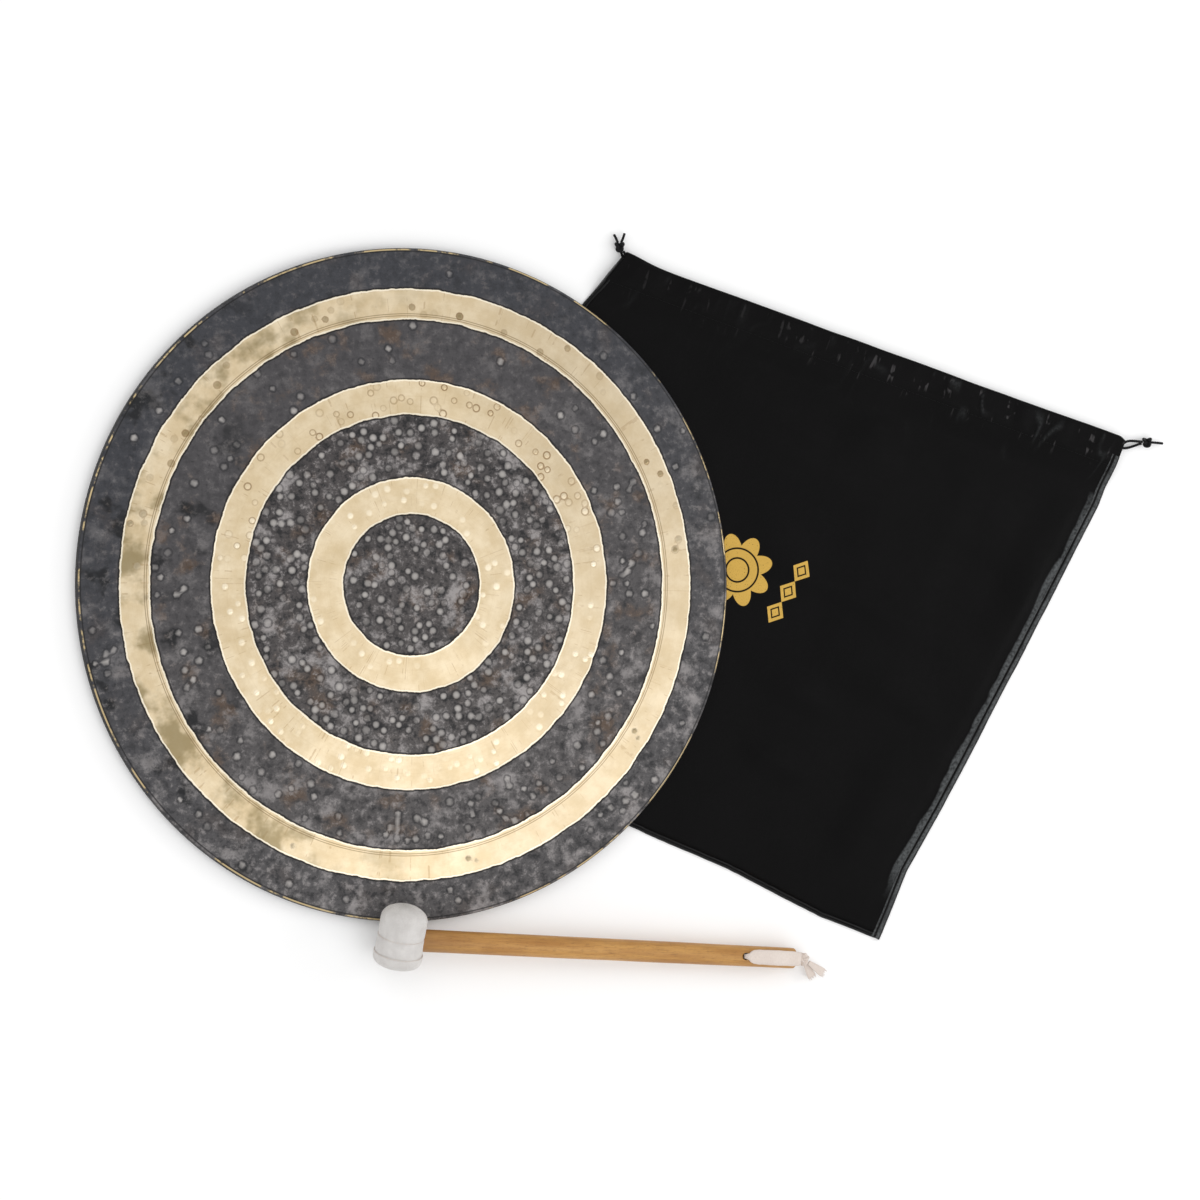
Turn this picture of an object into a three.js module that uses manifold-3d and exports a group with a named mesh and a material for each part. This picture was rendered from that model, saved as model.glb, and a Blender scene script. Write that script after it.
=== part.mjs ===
// A 24 inch tam tam gong lying face up with its two accessories: a padded beater that leans on the
// gong's edge, and a flat drawstring carry bag whose corner the gong lies on.
// Millimetres, +Z up, origin on the ground straight below the middle of the gong.

import * as THREE from 'three';
import { mergeVertices } from 'three/addons/utils/BufferGeometryUtils.js';
import Module from 'manifold-3d';

const wasm = await Module();
wasm.setup();

// ---------------------------------------------------------------------------------------------
// Driving dimensions
// ---------------------------------------------------------------------------------------------

const GAP = 0.3; // between pieces that touch

const GONG = {
  radius: 305,
  sheet: 1.8,
  rimDepth: 10, // height of the turned-back rim
  cornerRadius: 3, // outside radius where the face turns into the rim
  cornerStart: THREE.MathUtils.degToRad(84), // where the dome's slope meets the corner's arc
  domeHeight: 16,
  domePower: 2, // a shallow bowl's curve
  flatRadius: 25, // radius of the flat middle
  segments: 72,
  faceSteps: 11,
  backSteps: 7,
  holeRadius: 2.5, // two holes in the rim for the hanging cord
  holeHeight: 4.5,
  holeAngle: THREE.MathUtils.degToRad(18), // each side of the top
};

const HEAD = {
  radius: 22,
  halfLength: 27.5,
  edgeRadius: 8,
  cover: 1.2,
  coreRadius: 14,
  coreHalfLength: 21.3,
  bandFrom: -25.5, // the folded hem of the cover, at the lower end
  bandTo: -15.5,
  bandRadius: 22.9,
  lean: THREE.MathUtils.degToRad(19), // turned about the handle, far end up on the gong's edge
  x: -11,
};

const HANDLE = {
  length: 382, // from the middle of the head to the free end
  offset: -3, // along the head, from its middle
  radiusAtHead: 10.3,
  radiusAtEnd: 9.5,
  endRounding: 1.6,
  tenonRadius: 6,
  tenonDepth: 8, // past the middle of the head
  socketRadius: 6.35,
  yaw: THREE.MathUtils.degToRad(-3.6),
  holeFromEnd: 51,
  holeRadius: 3.3,
};

const STRAP = {
  tape: 1.2,
  legHeight: 10.7, // of the tape's middle, above and below the handle's axis
  knotFromHole: 61,
  knotHeight: -2.5,
  knotRadii: [6, 6.8, 5.2],
  tailWidth: 8,
};

const BAG = {
  mouthLeft: [208, 303],
  mouthRight: [700, 140],
  bottomRight: [457, -329],
  bottomLeft: [-109, -74],
  cloth: 0.7,
  seamHeight: 1.7,
  seamWidth: 5,
  rightSeamWidth: 9,
  rightSeamHeight: 2.4,
  hemWidth: 30,
  hemHeight: 4.2,
  hemCloth: 0.7,
  hemEndInset: 4,
  rampLength: 28, // of the front hem's skirt, which comes down onto the front panel
};

const CORD = {
  radius: 1.2,
  sides: 8,
  stepsPerSpan: 3,
  leftOffset: -5, // in from the mouth's edge
  rightOffset: -11,
  pullLength: 165, // of cord inside the hem that a pull draws out
  turnReach: 2, // how far the cord stands out of the hem where it turns back
  knotRadius: 5,
  leftKnot: [-10.5, 5],
  rightKnot: [27, 2],
  knotHeight: 5.2,
};

// ---------------------------------------------------------------------------------------------
// Shape helpers
// ---------------------------------------------------------------------------------------------

/** A closed manifold-3d solid from a closed three.js geometry. */
function toSolid(geometry) {
  const bare = geometry.clone();
  bare.deleteAttribute('normal');
  bare.deleteAttribute('uv');
  const merged = mergeVertices(bare, 1e-4);
  const vertProperties = new Float32Array(merged.attributes.position.array);
  const triVerts = new Uint32Array(merged.index.array);
  return new wasm.Manifold(new wasm.Mesh({ numProp: 3, vertProperties, triVerts }));
}

/** A three.js geometry from a manifold-3d solid. */
function fromSolid(solid) {
  const mesh = solid.getMesh();
  const geometry = new THREE.BufferGeometry();
  geometry.setAttribute('position', new THREE.BufferAttribute(mesh.vertProperties, 3));
  geometry.setIndex(new THREE.BufferAttribute(mesh.triVerts, 1));
  return geometry;
}

/** The first geometry with every other one cut away. */
function cut(geometry, ...tools) {
  const whole = toSolid(geometry);
  return fromSolid(tools.reduce((left, tool) => left.subtract(toSolid(tool)), whole));
}

/** Two geometries joined into one solid. */
function join(first, second) {
  return fromSolid(toSolid(first).add(toSolid(second)));
}

/** Six times the signed volume: below zero when the faces point inwards. */
function signedVolume(position, index) {
  const a = new THREE.Vector3();
  const b = new THREE.Vector3();
  const c = new THREE.Vector3();
  let sum = 0;
  for (let i = 0; i < index.length; i += 3) {
    a.fromBufferAttribute(position, index[i]);
    b.fromBufferAttribute(position, index[i + 1]);
    c.fromBufferAttribute(position, index[i + 2]);
    sum += a.dot(b.cross(c));
  }
  return sum;
}

/** The same geometry with its vertices shared and its faces pointing out. */
function outward(geometry) {
  const bare = geometry.clone();
  bare.deleteAttribute('normal');
  bare.deleteAttribute('uv');
  const merged = mergeVertices(bare, 1e-4);
  const index = Array.from(merged.index.array);
  if (signedVolume(merged.attributes.position, index) < 0) {
    index.reverse();
  }
  merged.setIndex(index);
  return merged;
}

/** A solid of revolution about Y from [radius, height] pairs that start and end on the axis or close. */
function revolve(profile, segments) {
  const points = profile.map(([r, y]) => new THREE.Vector2(r, y));
  return outward(new THREE.LatheGeometry(points, segments));
}

/** A solid through a row of rings, each a convex loop of the same number of points. */
function loft(rings) {
  const count = rings[0].length;
  const position = rings.flat().flatMap((p) => [p.x, p.y, p.z]);
  const index = [];
  for (let r = 0; r + 1 < rings.length; r += 1) {
    for (let i = 0; i < count; i += 1) {
      const a = r * count + i;
      const b = r * count + ((i + 1) % count);
      index.push(a, b, b + count);
      index.push(a, b + count, a + count);
    }
  }
  const last = (rings.length - 1) * count;
  for (let i = 1; i + 1 < count; i += 1) {
    index.push(0, i + 1, i);
    index.push(last, last + i, last + i + 1);
  }
  const geometry = new THREE.BufferGeometry();
  geometry.setAttribute('position', new THREE.Float32BufferAttribute(position, 3));
  geometry.setIndex(index);
  return outward(geometry);
}

/** A smooth curve that is stepped evenly from point to point, so short turns keep their shape. */
class Route extends THREE.CatmullRomCurve3 {
  getPointAt(t) {
    return this.getPoint(t);
  }

  getTangentAt(t) {
    return this.getTangent(t);
  }
}

/** A round cord along a smooth curve through the points. */
function cordAlong(points) {
  const section = new THREE.Shape();
  section.absarc(0, 0, CORD.radius, 0, Math.PI * 2);
  const extrudePath = new Route(points, false, 'centripetal');
  const steps = (points.length - 1) * CORD.stepsPerSpan;
  const curveSegments = CORD.sides / 2; // per half turn
  return outward(new THREE.ExtrudeGeometry(section, { steps, extrudePath, curveSegments }));
}

/** A flat band whose middle line runs through stations of [point, width, thickness]. */
function band(stations, across) {
  const middle = new THREE.CatmullRomCurve3(stations.map(([p]) => p), false, 'centripetal');
  const rings = stations.map(([point, width, thickness], i) => {
    const along = middle.getTangent(i / (stations.length - 1));
    const side = across.clone().multiplyScalar(width / 2);
    const up = new THREE.Vector3().crossVectors(along, across).setLength(thickness / 2);
    return [
      point.clone().add(side).add(up),
      point.clone().sub(side).add(up),
      point.clone().sub(side).sub(up),
      point.clone().add(side).sub(up),
    ];
  });
  return loft(rings);
}

function colour(hex, roughness, metalness = 0) {
  return new THREE.MeshStandardMaterial({ color: hex, roughness, metalness });
}

const LOOKS = {
  bronze: () => colour(0x6a675f, 0.5, 0.9),
  wood: () => colour(0xb07c3a, 0.5),
  core: () => colour(0xc9a87a, 0.7),
  felt: () => colour(0xd8d2c4, 0.95),
  cloth: () => colour(0xd9d6cf, 0.9),
  tape: () => colour(0xdcccc0, 0.9),
  bag: () => colour(0x1c1b1d, 0.6),
  cord: () => colour(0x141416, 0.8),
};

function piece(name, geometry, material) {
  const mesh = new THREE.Mesh(geometry, material);
  mesh.name = name;
  return mesh;
}

// ---------------------------------------------------------------------------------------------
// The gong
// ---------------------------------------------------------------------------------------------

const faceEnd = GONG.radius - GONG.cornerRadius;
const gongTop = GONG.rimDepth + GONG.domeHeight;

/** Height of the gong's face above its rim's lower edge. */
function faceHeight(r) {
  if (r <= GONG.flatRadius) {
    return gongTop;
  }
  const part = (r - GONG.flatRadius) / (faceEnd - GONG.flatRadius);
  return GONG.rimDepth + GONG.domeHeight * (1 - part ** GONG.domePower);
}

/** Radii from the flat middle to the face's end, closer together where the dome is steeper. */
function faceRadii(steps) {
  const radii = [];
  for (let i = 0; i <= steps; i += 1) {
    radii.push(GONG.flatRadius + (faceEnd - GONG.flatRadius) * Math.sqrt(i / steps));
  }
  return radii;
}

function gongDisc() {
  const profile = [[0, gongTop]];
  faceRadii(GONG.faceSteps).forEach((r) => profile.push([r, faceHeight(r)]));
  const arcMiddle = [faceEnd, GONG.rimDepth - GONG.cornerRadius];
  for (const share of [1, 0.5, 0]) {
    const angle = GONG.cornerStart * share;
    const r = arcMiddle[0] + GONG.cornerRadius * Math.cos(angle);
    profile.push([r, arcMiddle[1] + GONG.cornerRadius * Math.sin(angle)]);
  }
  const innerRadius = GONG.radius - GONG.sheet;
  profile.push([GONG.radius, 0], [innerRadius, 0], [innerRadius, arcMiddle[1]]);
  faceRadii(GONG.backSteps).reverse().forEach((r) => {
    profile.push([Math.min(r, innerRadius - 1), faceHeight(r) - GONG.sheet]);
  });
  profile.push([0, gongTop - GONG.sheet]);
  const disc = revolve(profile, GONG.segments).rotateX(Math.PI / 2);

  const holes = [-1, 1].map((side) => {
    const tool = new THREE.CylinderGeometry(GONG.holeRadius, GONG.holeRadius, 12, 20);
    tool.translate(0, GONG.radius, 0);
    tool.rotateZ(side * GONG.holeAngle);
    return tool.translate(0, 0, GONG.holeHeight);
  });
  return piece('gong_disc', cut(disc, ...holes), LOOKS.bronze());
}

// The gong lies on the bag on its right, so it tilts by the bag's thickness. The bag's left seam
// is the first thing that its rim crosses.
const rimOnBagX = 166;
const bagLift = BAG.seamHeight + GAP;
const gongTilt = Math.atan(bagLift / (GONG.radius + rimOnBagX));

function gongGroup() {
  const group = new THREE.Group();
  group.add(gongDisc());
  group.position.z = GONG.radius * Math.sin(gongTilt);
  group.rotation.y = -gongTilt;
  return group;
}

// ---------------------------------------------------------------------------------------------
// The beater
// ---------------------------------------------------------------------------------------------

/** A barrel about Y with rounded edges. */
function barrel(radius, halfLength, edgeRadius) {
  const profile = [[0, -halfLength]];
  for (const side of [-1, 1]) {
    for (const share of [0, 0.25, 0.5, 0.75, 1]) {
      const angle = (side < 0 ? 1 - share : share) * Math.PI / 2;
      const r = radius - edgeRadius + edgeRadius * Math.cos(angle);
      profile.push([r, side * (halfLength - edgeRadius + edgeRadius * Math.sin(angle))]);
    }
  }
  profile.push([0, halfLength]);
  return revolve(profile, 36);
}

/** The bore that the handle's tenon goes through, along X on the handle's axis. */
function tenonBore(from, to) {
  const tool = new THREE.CylinderGeometry(HANDLE.socketRadius, HANDLE.socketRadius, to - from, 24);
  tool.rotateZ(Math.PI / 2);
  return tool.translate((from + to) / 2, HANDLE.offset, 0);
}

function headPieces() {
  const reach = HEAD.radius * 2;
  const coverInside = barrel(
    HEAD.radius - HEAD.cover,
    HEAD.halfLength - HEAD.cover,
    HEAD.edgeRadius - HEAD.cover,
  );
  const cover = cut(
    barrel(HEAD.radius, HEAD.halfLength, HEAD.edgeRadius),
    coverInside,
    tenonBore(0, reach),
  );

  const paddingRadius = HEAD.radius - HEAD.cover - GAP;
  const paddingHalf = HEAD.halfLength - HEAD.cover - GAP;
  const paddingInside = new THREE.CylinderGeometry(
    HEAD.coreRadius + GAP,
    HEAD.coreRadius + GAP,
    2 * (HEAD.coreHalfLength + GAP),
    36,
  );
  const padding = cut(
    barrel(paddingRadius, paddingHalf, HEAD.edgeRadius - HEAD.cover - GAP),
    paddingInside,
    tenonBore(0, reach),
  );

  const coreEnd = HANDLE.tenonDepth + GAP;
  const core = cut(
    barrel(HEAD.coreRadius, HEAD.coreHalfLength, 1.5),
    tenonBore(-coreEnd, reach),
  );

  const bandInner = HEAD.radius + GAP;
  const bandMiddle = (bandInner + HEAD.bandRadius) / 2;
  const hemBand = revolve([
    [bandInner, HEAD.bandTo],
    [bandMiddle, HEAD.bandTo + 0.3],
    [HEAD.bandRadius, HEAD.bandTo - 0.6],
    [HEAD.bandRadius, HEAD.bandFrom + 1.5],
    [bandMiddle, HEAD.bandFrom],
    [bandInner, HEAD.bandFrom + 0.3],
    [bandInner, HEAD.bandTo],
  ], 36);

  return [
    piece('beater_head_core', core, LOOKS.core()),
    piece('beater_head_padding', padding, LOOKS.felt()),
    piece('beater_head_cover', cover, LOOKS.cloth()),
    piece('beater_head_hem', hemBand, LOOKS.cloth()),
  ];
}

function handleRadius(x) {
  return THREE.MathUtils.lerp(HANDLE.radiusAtHead, HANDLE.radiusAtEnd, x / HANDLE.length);
}

function handle() {
  const shaftStart = HEAD.radius / 2;
  const end = HANDLE.length;
  const shaft = revolve([
    [0, shaftStart],
    [handleRadius(shaftStart), shaftStart],
    [handleRadius(end / 2), end / 2],
    [handleRadius(end), end - HANDLE.endRounding],
    [handleRadius(end) - HANDLE.endRounding, end],
    [0, end],
  ], 28).rotateZ(-Math.PI / 2).translate(0, HANDLE.offset, 0);
  const saddle = new THREE.CylinderGeometry(HEAD.radius + GAP, HEAD.radius + GAP, 60, 48);

  const tenonLength = HANDLE.tenonDepth + HEAD.radius + 4;
  const tenon = new THREE.CylinderGeometry(HANDLE.tenonRadius, HANDLE.tenonRadius, tenonLength, 24);
  tenon.rotateZ(Math.PI / 2).translate(tenonLength / 2 - HANDLE.tenonDepth, HANDLE.offset, 0);

  const hole = new THREE.CylinderGeometry(HANDLE.holeRadius, HANDLE.holeRadius, 40, 20);
  hole.rotateX(Math.PI / 2 - HEAD.lean);
  hole.translate(HANDLE.length - HANDLE.holeFromEnd, HANDLE.offset, 0);
  const body = cut(join(cut(shaft, saddle), tenon), hole);
  return piece('beater_handle', body, LOOKS.wood());
}

/** The wrist strap, about the middle of the handle's hole: +X towards the handle's free end. */
function strap() {
  const group = new THREE.Group();
  const across = new THREE.Vector3(0, 1, 0);
  const h = STRAP.legHeight;
  const thin = STRAP.tape;
  // [x, height above the axis, width, thickness], from the knot to the middle of the hole
  const upperHalf = [
    [55.8, 2.6, 9, thin],
    [54.8, 7, 11, thin],
    [51.6, 10.2, 13, thin],
    [46, h, 14, thin],
    [30, h, 14, thin],
    [14, h, 12, 1.3],
    [8, 11, 9, 1.6],
    [3.6, 11.4, 6, 2],
    [0.9, 10.2, 4.4, 2.6],
    [0, 7.4, 4.2, 3.2],
  ];
  const lowerHalf = upperHalf.map(([x, z, width, thickness]) => [x, -z, width, thickness]).reverse();
  // the lower tape's end stays apart from the upper one, so the knot covers both without their touching
  lowerHalf[lowerHalf.length - 1][1] = -6.2;
  const stations = [...upperHalf, ...lowerHalf].map(([x, z, width, thickness]) => {
    return [new THREE.Vector3(x, 0, z), width, thickness];
  });
  group.add(piece('strap_loop', band(stations, across), LOOKS.tape()));

  const knot = outward(new THREE.SphereGeometry(1, 18, 12));
  knot.scale(...STRAP.knotRadii);
  knot.translate(STRAP.knotFromHole, 0, STRAP.knotHeight);
  group.add(piece('strap_knot', knot, LOOKS.tape()));

  const tips = { strap_tail_long: [83.5, -13], strap_tail_short: [73, -17.5] };
  for (const [name, [tipX, tipY]] of Object.entries(tips)) {
    const centre = new THREE.Vector3(STRAP.knotFromHole, 0, STRAP.knotHeight);
    const tip = new THREE.Vector3(tipX, tipY, STRAP.knotHeight - 2.5);
    const flat = tip.clone().sub(centre).setZ(0).normalize();
    const side = new THREE.Vector3(-flat.y, flat.x, 0);
    const start = name === 'strap_tail_long' ? 7.2 : 8.2;
    const reach = tip.distanceTo(centre);
    const places = [start / reach, 0.6, 0.8, 1].map((share) => centre.clone().lerp(tip, share));
    const widths = [4, 6.2, STRAP.tailWidth, STRAP.tailWidth];
    const sign = name === 'strap_tail_long' ? 1 : -1;
    places.forEach((place) => { place.z += sign * 0.9; });
    const tail = band(places.map((place, i) => [place, widths[i], thin]), side);
    group.add(piece(name, tail, LOOKS.tape()));
  }
  return group;
}

function beaterGroup() {
  const sin = Math.sin(HEAD.lean);
  const cos = Math.cos(HEAD.lean);
  // the head's lower end stands on the ground on the edge of its hem
  const headZ = -(HEAD.bandFrom + 1.5) * sin + HEAD.bandRadius * cos + GAP;
  // and its side leans on the corner of the gong's rim
  const liftAtX = (GONG.radius + HEAD.x) * Math.sin(gongTilt);
  const cornerZ = GONG.rimDepth - GONG.cornerRadius + liftAtX;
  const reach = HEAD.radius + GONG.cornerRadius + GAP;
  const outside = (reach - cos * (headZ - cornerZ)) / sin;
  const headY = -faceEnd - outside;

  const axisAtEnd = HANDLE.radiusAtEnd + STRAP.tape * 1.5 + 3 * GAP;
  const drop = headZ + HANDLE.offset * sin - axisAtEnd;

  const beater = new THREE.Group();
  beater.position.set(HEAD.x, headY, headZ);
  beater.rotation.order = 'ZYX';
  beater.rotation.z = HANDLE.yaw;
  beater.rotation.y = Math.asin(drop / HANDLE.length);

  const leaning = new THREE.Group();
  leaning.rotation.x = HEAD.lean;
  leaning.add(handle(), ...headPieces());
  beater.add(leaning);

  const strapGroup = strap();
  strapGroup.position.set(
    HANDLE.length - HANDLE.holeFromEnd,
    HANDLE.offset * cos,
    HANDLE.offset * sin,
  );
  beater.add(strapGroup);
  return beater;
}

// ---------------------------------------------------------------------------------------------
// The bag
// ---------------------------------------------------------------------------------------------

const corner = (name) => new THREE.Vector2(...BAG[name]);
const mouthLine = corner('mouthRight').sub(corner('mouthLeft'));
const mouthLength = mouthLine.length();

/** A point of the bag: u from the left side to the right, v from the mouth to the bottom. */
function bagPoint(u, v, z) {
  const top = corner('mouthLeft').lerp(corner('mouthRight'), u);
  const bottom = corner('bottomLeft').lerp(corner('bottomRight'), u);
  const at = top.lerp(bottom, v);
  return new THREE.Vector3(at.x, at.y, z);
}

/** How far the bottom edge is from the mouth's line at u. */
function depthAt(u) {
  const bottom = bagPoint(u, 1, 0);
  const fromMouth = new THREE.Vector2(bottom.x, bottom.y).sub(corner('mouthLeft'));
  return Math.abs(fromMouth.cross(mouthLine)) / mouthLength;
}

const belowMouth = (distance) => (u) => distance / depthAt(u);
const aboveBottom = (distance) => (u) => 1 - distance / depthAt(u);

/** A flat strip of the bag, through stations of [v at a given u, underside's height]. */
function bagStrip(u0, u1, stations, thickness) {
  return loft(stations.map(([v, z]) => [
    bagPoint(u0, v(u0), z),
    bagPoint(u1, v(u1), z),
    bagPoint(u1, v(u1), z + thickness),
    bagPoint(u0, v(u0), z + thickness),
  ]));
}

/** How far along the mouth's line the bag's point at u is, a distance below the mouth. */
function alongMouth(u, distance) {
  const point = bagPoint(u, belowMouth(distance)(u), 0);
  const fromLeft = new THREE.Vector2(point.x, point.y).sub(corner('mouthLeft'));
  return fromLeft.dot(mouthLine) / mouthLength;
}

const panelTop = BAG.hemWidth + 1;
const panelBottom = aboveBottom(BAG.seamWidth + GAP);
const insideLeft = (BAG.seamWidth + GAP) / mouthLength;
const insideRight = 1 - (BAG.rightSeamWidth + GAP) / mouthLength;

function bagPanels() {
  const low = BAG.cloth + GAP;
  const back = bagStrip(
    insideLeft,
    insideRight,
    [[belowMouth(panelTop), 0], [panelBottom, 0]],
    BAG.cloth,
  );
  const front = bagStrip(
    insideLeft,
    insideRight,
    [[belowMouth(panelTop + BAG.rampLength), low], [panelBottom, low]],
    BAG.cloth,
  );
  return [
    piece('bag_back_panel', back, LOOKS.bag()),
    piece('bag_front_panel', front, LOOKS.bag()),
  ];
}

function bagSeams() {
  const side = [[belowMouth(panelTop), 0], [aboveBottom(0), 0]];
  const leftEdge = BAG.seamWidth / mouthLength;
  const rightEdge = 1 - BAG.rightSeamWidth / mouthLength;
  const left = bagStrip(0, leftEdge, side, BAG.seamHeight);
  const right = bagStrip(rightEdge, 1, side, BAG.rightSeamHeight);
  const low = [[aboveBottom(BAG.seamWidth), 0], [aboveBottom(0), 0]];
  const bottom = bagStrip(insideLeft, insideRight, low, BAG.seamHeight);
  return [
    piece('bag_left_seam', left, LOOKS.bag()),
    piece('bag_right_seam', right, LOOKS.bag()),
    piece('bag_bottom_seam', bottom, LOOKS.bag()),
  ];
}

/** The mouth's frame: +X along the mouth from its left corner, +Y outwards, in the bag's plane. */
function mouthGroup() {
  const group = new THREE.Group();
  const [left, right] = [corner('mouthLeft'), corner('mouthRight')];
  group.position.set(left.x, left.y, 0);
  group.rotation.z = Math.atan2(right.y - left.y, right.x - left.x);
  return group;
}

const backCordZ = BAG.hemHeight / 2;
const frontCordZ = BAG.hemHeight * 1.5 + GAP;

function rectangle(path, width, height) {
  path.moveTo(-width / 2, -height / 2);
  path.lineTo(width / 2, -height / 2);
  path.lineTo(width / 2, height / 2);
  path.lineTo(-width / 2, height / 2);
  path.closePath();
  return path;
}

/** One flat hem tube, open at both ends. */
function hemTube(z) {
  const section = rectangle(new THREE.Shape(), BAG.hemWidth, BAG.hemHeight);
  const inside = new THREE.Path();
  rectangle(inside, BAG.hemWidth - 2 * BAG.hemCloth, BAG.hemHeight - 2 * BAG.hemCloth);
  section.holes.push(inside);
  const depth = mouthLength - 2 * BAG.hemEndInset;
  const geometry = new THREE.ExtrudeGeometry(section, { depth, bevelEnabled: false });
  geometry.rotateX(Math.PI / 2).rotateZ(Math.PI / 2);
  return outward(geometry.translate(BAG.hemEndInset, -BAG.hemWidth / 2, z));
}

/** The sloping cloth between the front hem and the front panel. */
function frontSkirt() {
  const low = BAG.cloth + GAP;
  const high = frontCordZ - BAG.cloth / 2;
  const top = BAG.hemCloth / 2 - BAG.hemWidth;
  const foot = GAP - panelTop - BAG.rampLength;
  const section = [
    [top, high],
    [(top * 2 + foot) / 3, (high * 3 + low) / 4],
    [(top + foot * 2) / 3, (high + low * 3) / 4],
    [foot, low],
  ];
  return loft(section.map(([y, z]) => {
    const from = Math.max(alongMouth(insideLeft, -y), BAG.hemEndInset + 1);
    const to = Math.min(alongMouth(insideRight, -y), mouthLength - BAG.hemEndInset - 1);
    return [
      new THREE.Vector3(from, y, z),
      new THREE.Vector3(to, y, z),
      new THREE.Vector3(to, y, z + BAG.cloth),
      new THREE.Vector3(from, y, z + BAG.cloth),
    ];
  }));
}

/** The part of a cord that stays in the hems and turns back at the far corner. */
function hiddenRun(name, fromX, endX, y) {
  const outwards = Math.sign(endX - fromX);
  const turn = endX + outwards * CORD.turnReach;
  const high = frontCordZ;
  const low = backCordZ;
  const points = [
    new THREE.Vector3(fromX, y, high),
    new THREE.Vector3(endX - outwards * CORD.turnReach, y, high),
    new THREE.Vector3(endX, y, high),
    new THREE.Vector3(turn, y, (high * 3 + low) / 4),
    new THREE.Vector3(turn, y, (high + low * 3) / 4),
    new THREE.Vector3(endX, y, low),
    new THREE.Vector3(endX - outwards * CORD.turnReach, y, low),
    new THREE.Vector3(fromX, y, low),
  ];
  return piece(name, cordAlong(points), LOOKS.cord());
}

/** The two strands, the knot and the tails that a pull draws out of one corner. */
function drawstring(side, endX, outwards, y, knotPlace, opening, tails) {
  const [knotX, knotY] = knotPlace;
  const knotAt = new THREE.Vector3(endX + knotX, knotY, CORD.knotHeight);
  const pieces = [];
  for (const [layer, z, spread] of [['front', frontCordZ, 1], ['back', backCordZ, -1]]) {
    const inside = endX - outwards * CORD.pullLength;
    const mouth = new THREE.Vector3(endX, y, z);
    const meet = mouth.clone().lerp(knotAt, 0.3);
    meet.y += spread * opening;
    const toKnot = knotAt.clone().sub(meet);
    const end = knotAt.clone().sub(toKnot.clone().setLength(CORD.knotRadius + CORD.radius));
    end.z += spread * 1.5;
    const points = [
      new THREE.Vector3(inside, y, z),
      new THREE.Vector3(endX - outwards * 8, y, z),
      mouth,
      meet,
      end,
    ];
    pieces.push(piece(`drawstring_${side}_${layer}_strand`, cordAlong(points), LOOKS.cord()));
  }
  const knot = outward(new THREE.SphereGeometry(CORD.knotRadius, 14, 10));
  knot.translate(...knotAt.toArray());
  pieces.push(piece(`drawstring_${side}_knot`, knot, LOOKS.cord()));
  tails.forEach(([dx, dy, dz], i) => {
    const direction = new THREE.Vector3(dx, dy, dz);
    const start = knotAt.clone().add(direction.clone().setLength(CORD.knotRadius + GAP));
    const tip = knotAt.clone().add(direction);
    const middle = start.clone().lerp(tip, 0.5);
    middle.z += 0.4;
    const name = `drawstring_${side}_tail_${i + 1}`;
    pieces.push(piece(name, cordAlong([start, middle, tip]), LOOKS.cord()));
  });
  return pieces;
}

function bagGroup() {
  const bag = new THREE.Group();
  bag.add(...bagPanels(), ...bagSeams());
  const mouth = mouthGroup();
  const frontHem = join(hemTube(frontCordZ), frontSkirt());
  mouth.add(piece('bag_back_hem', hemTube(backCordZ), LOOKS.bag()));
  mouth.add(piece('bag_front_hem', frontHem, LOOKS.bag()));

  const leftEnd = BAG.hemEndInset;
  const rightEnd = mouthLength - BAG.hemEndInset;
  const leftStop = leftEnd + CORD.pullLength + GAP;
  const rightStop = rightEnd - CORD.pullLength - GAP;
  mouth.add(hiddenRun('left_cord_in_hems', leftStop, rightEnd, CORD.leftOffset));
  mouth.add(hiddenRun('right_cord_in_hems', rightStop, leftEnd, CORD.rightOffset));

  const leftTails = [[1, 13, -1], [-8, 9, -2]];
  const rightTails = [[16, 4, -2]];
  mouth.add(...drawstring('left', leftEnd, -1, CORD.leftOffset, CORD.leftKnot, 1.6, leftTails));
  mouth.add(...drawstring('right', rightEnd, 1, CORD.rightOffset, CORD.rightKnot, 3.4, rightTails));
  bag.add(mouth);
  return bag;
}

const tamTam = new THREE.Group();
tamTam.name = 'tam_tam_gong_set';
tamTam.add(gongGroup(), beaterGroup(), bagGroup());

export default tamTam;
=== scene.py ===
import math

import bmesh
import bpy
import numpy as np
from mathutils import Matrix, Vector, kdtree


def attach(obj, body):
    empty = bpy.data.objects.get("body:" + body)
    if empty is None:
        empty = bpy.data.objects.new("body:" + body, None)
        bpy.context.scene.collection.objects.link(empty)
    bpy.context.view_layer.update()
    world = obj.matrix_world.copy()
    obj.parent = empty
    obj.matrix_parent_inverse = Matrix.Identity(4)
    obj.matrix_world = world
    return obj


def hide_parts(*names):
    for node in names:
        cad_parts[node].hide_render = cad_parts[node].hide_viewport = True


# A tam-tam lying on its black drawstring bag, with its beater. Metres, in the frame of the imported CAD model.
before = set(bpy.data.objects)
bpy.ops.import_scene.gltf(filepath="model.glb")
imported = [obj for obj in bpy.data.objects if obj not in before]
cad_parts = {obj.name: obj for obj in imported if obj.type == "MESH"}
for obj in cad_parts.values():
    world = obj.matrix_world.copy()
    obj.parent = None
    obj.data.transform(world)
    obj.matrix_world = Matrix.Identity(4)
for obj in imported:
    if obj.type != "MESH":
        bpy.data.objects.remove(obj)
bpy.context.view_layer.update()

# ---------------------------------------------------------------- camera

CAMERA_TARGET = Vector((0.1862, -0.0137, 0.0))
CAMERA_DISTANCE = 6.0
CAMERA_LEAN = math.radians(17.26)  # from straight overhead towards the gong's left side


def add_object(name, data):
    obj = bpy.data.objects.new(name, data)
    bpy.context.scene.collection.objects.link(obj)
    return obj


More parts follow.
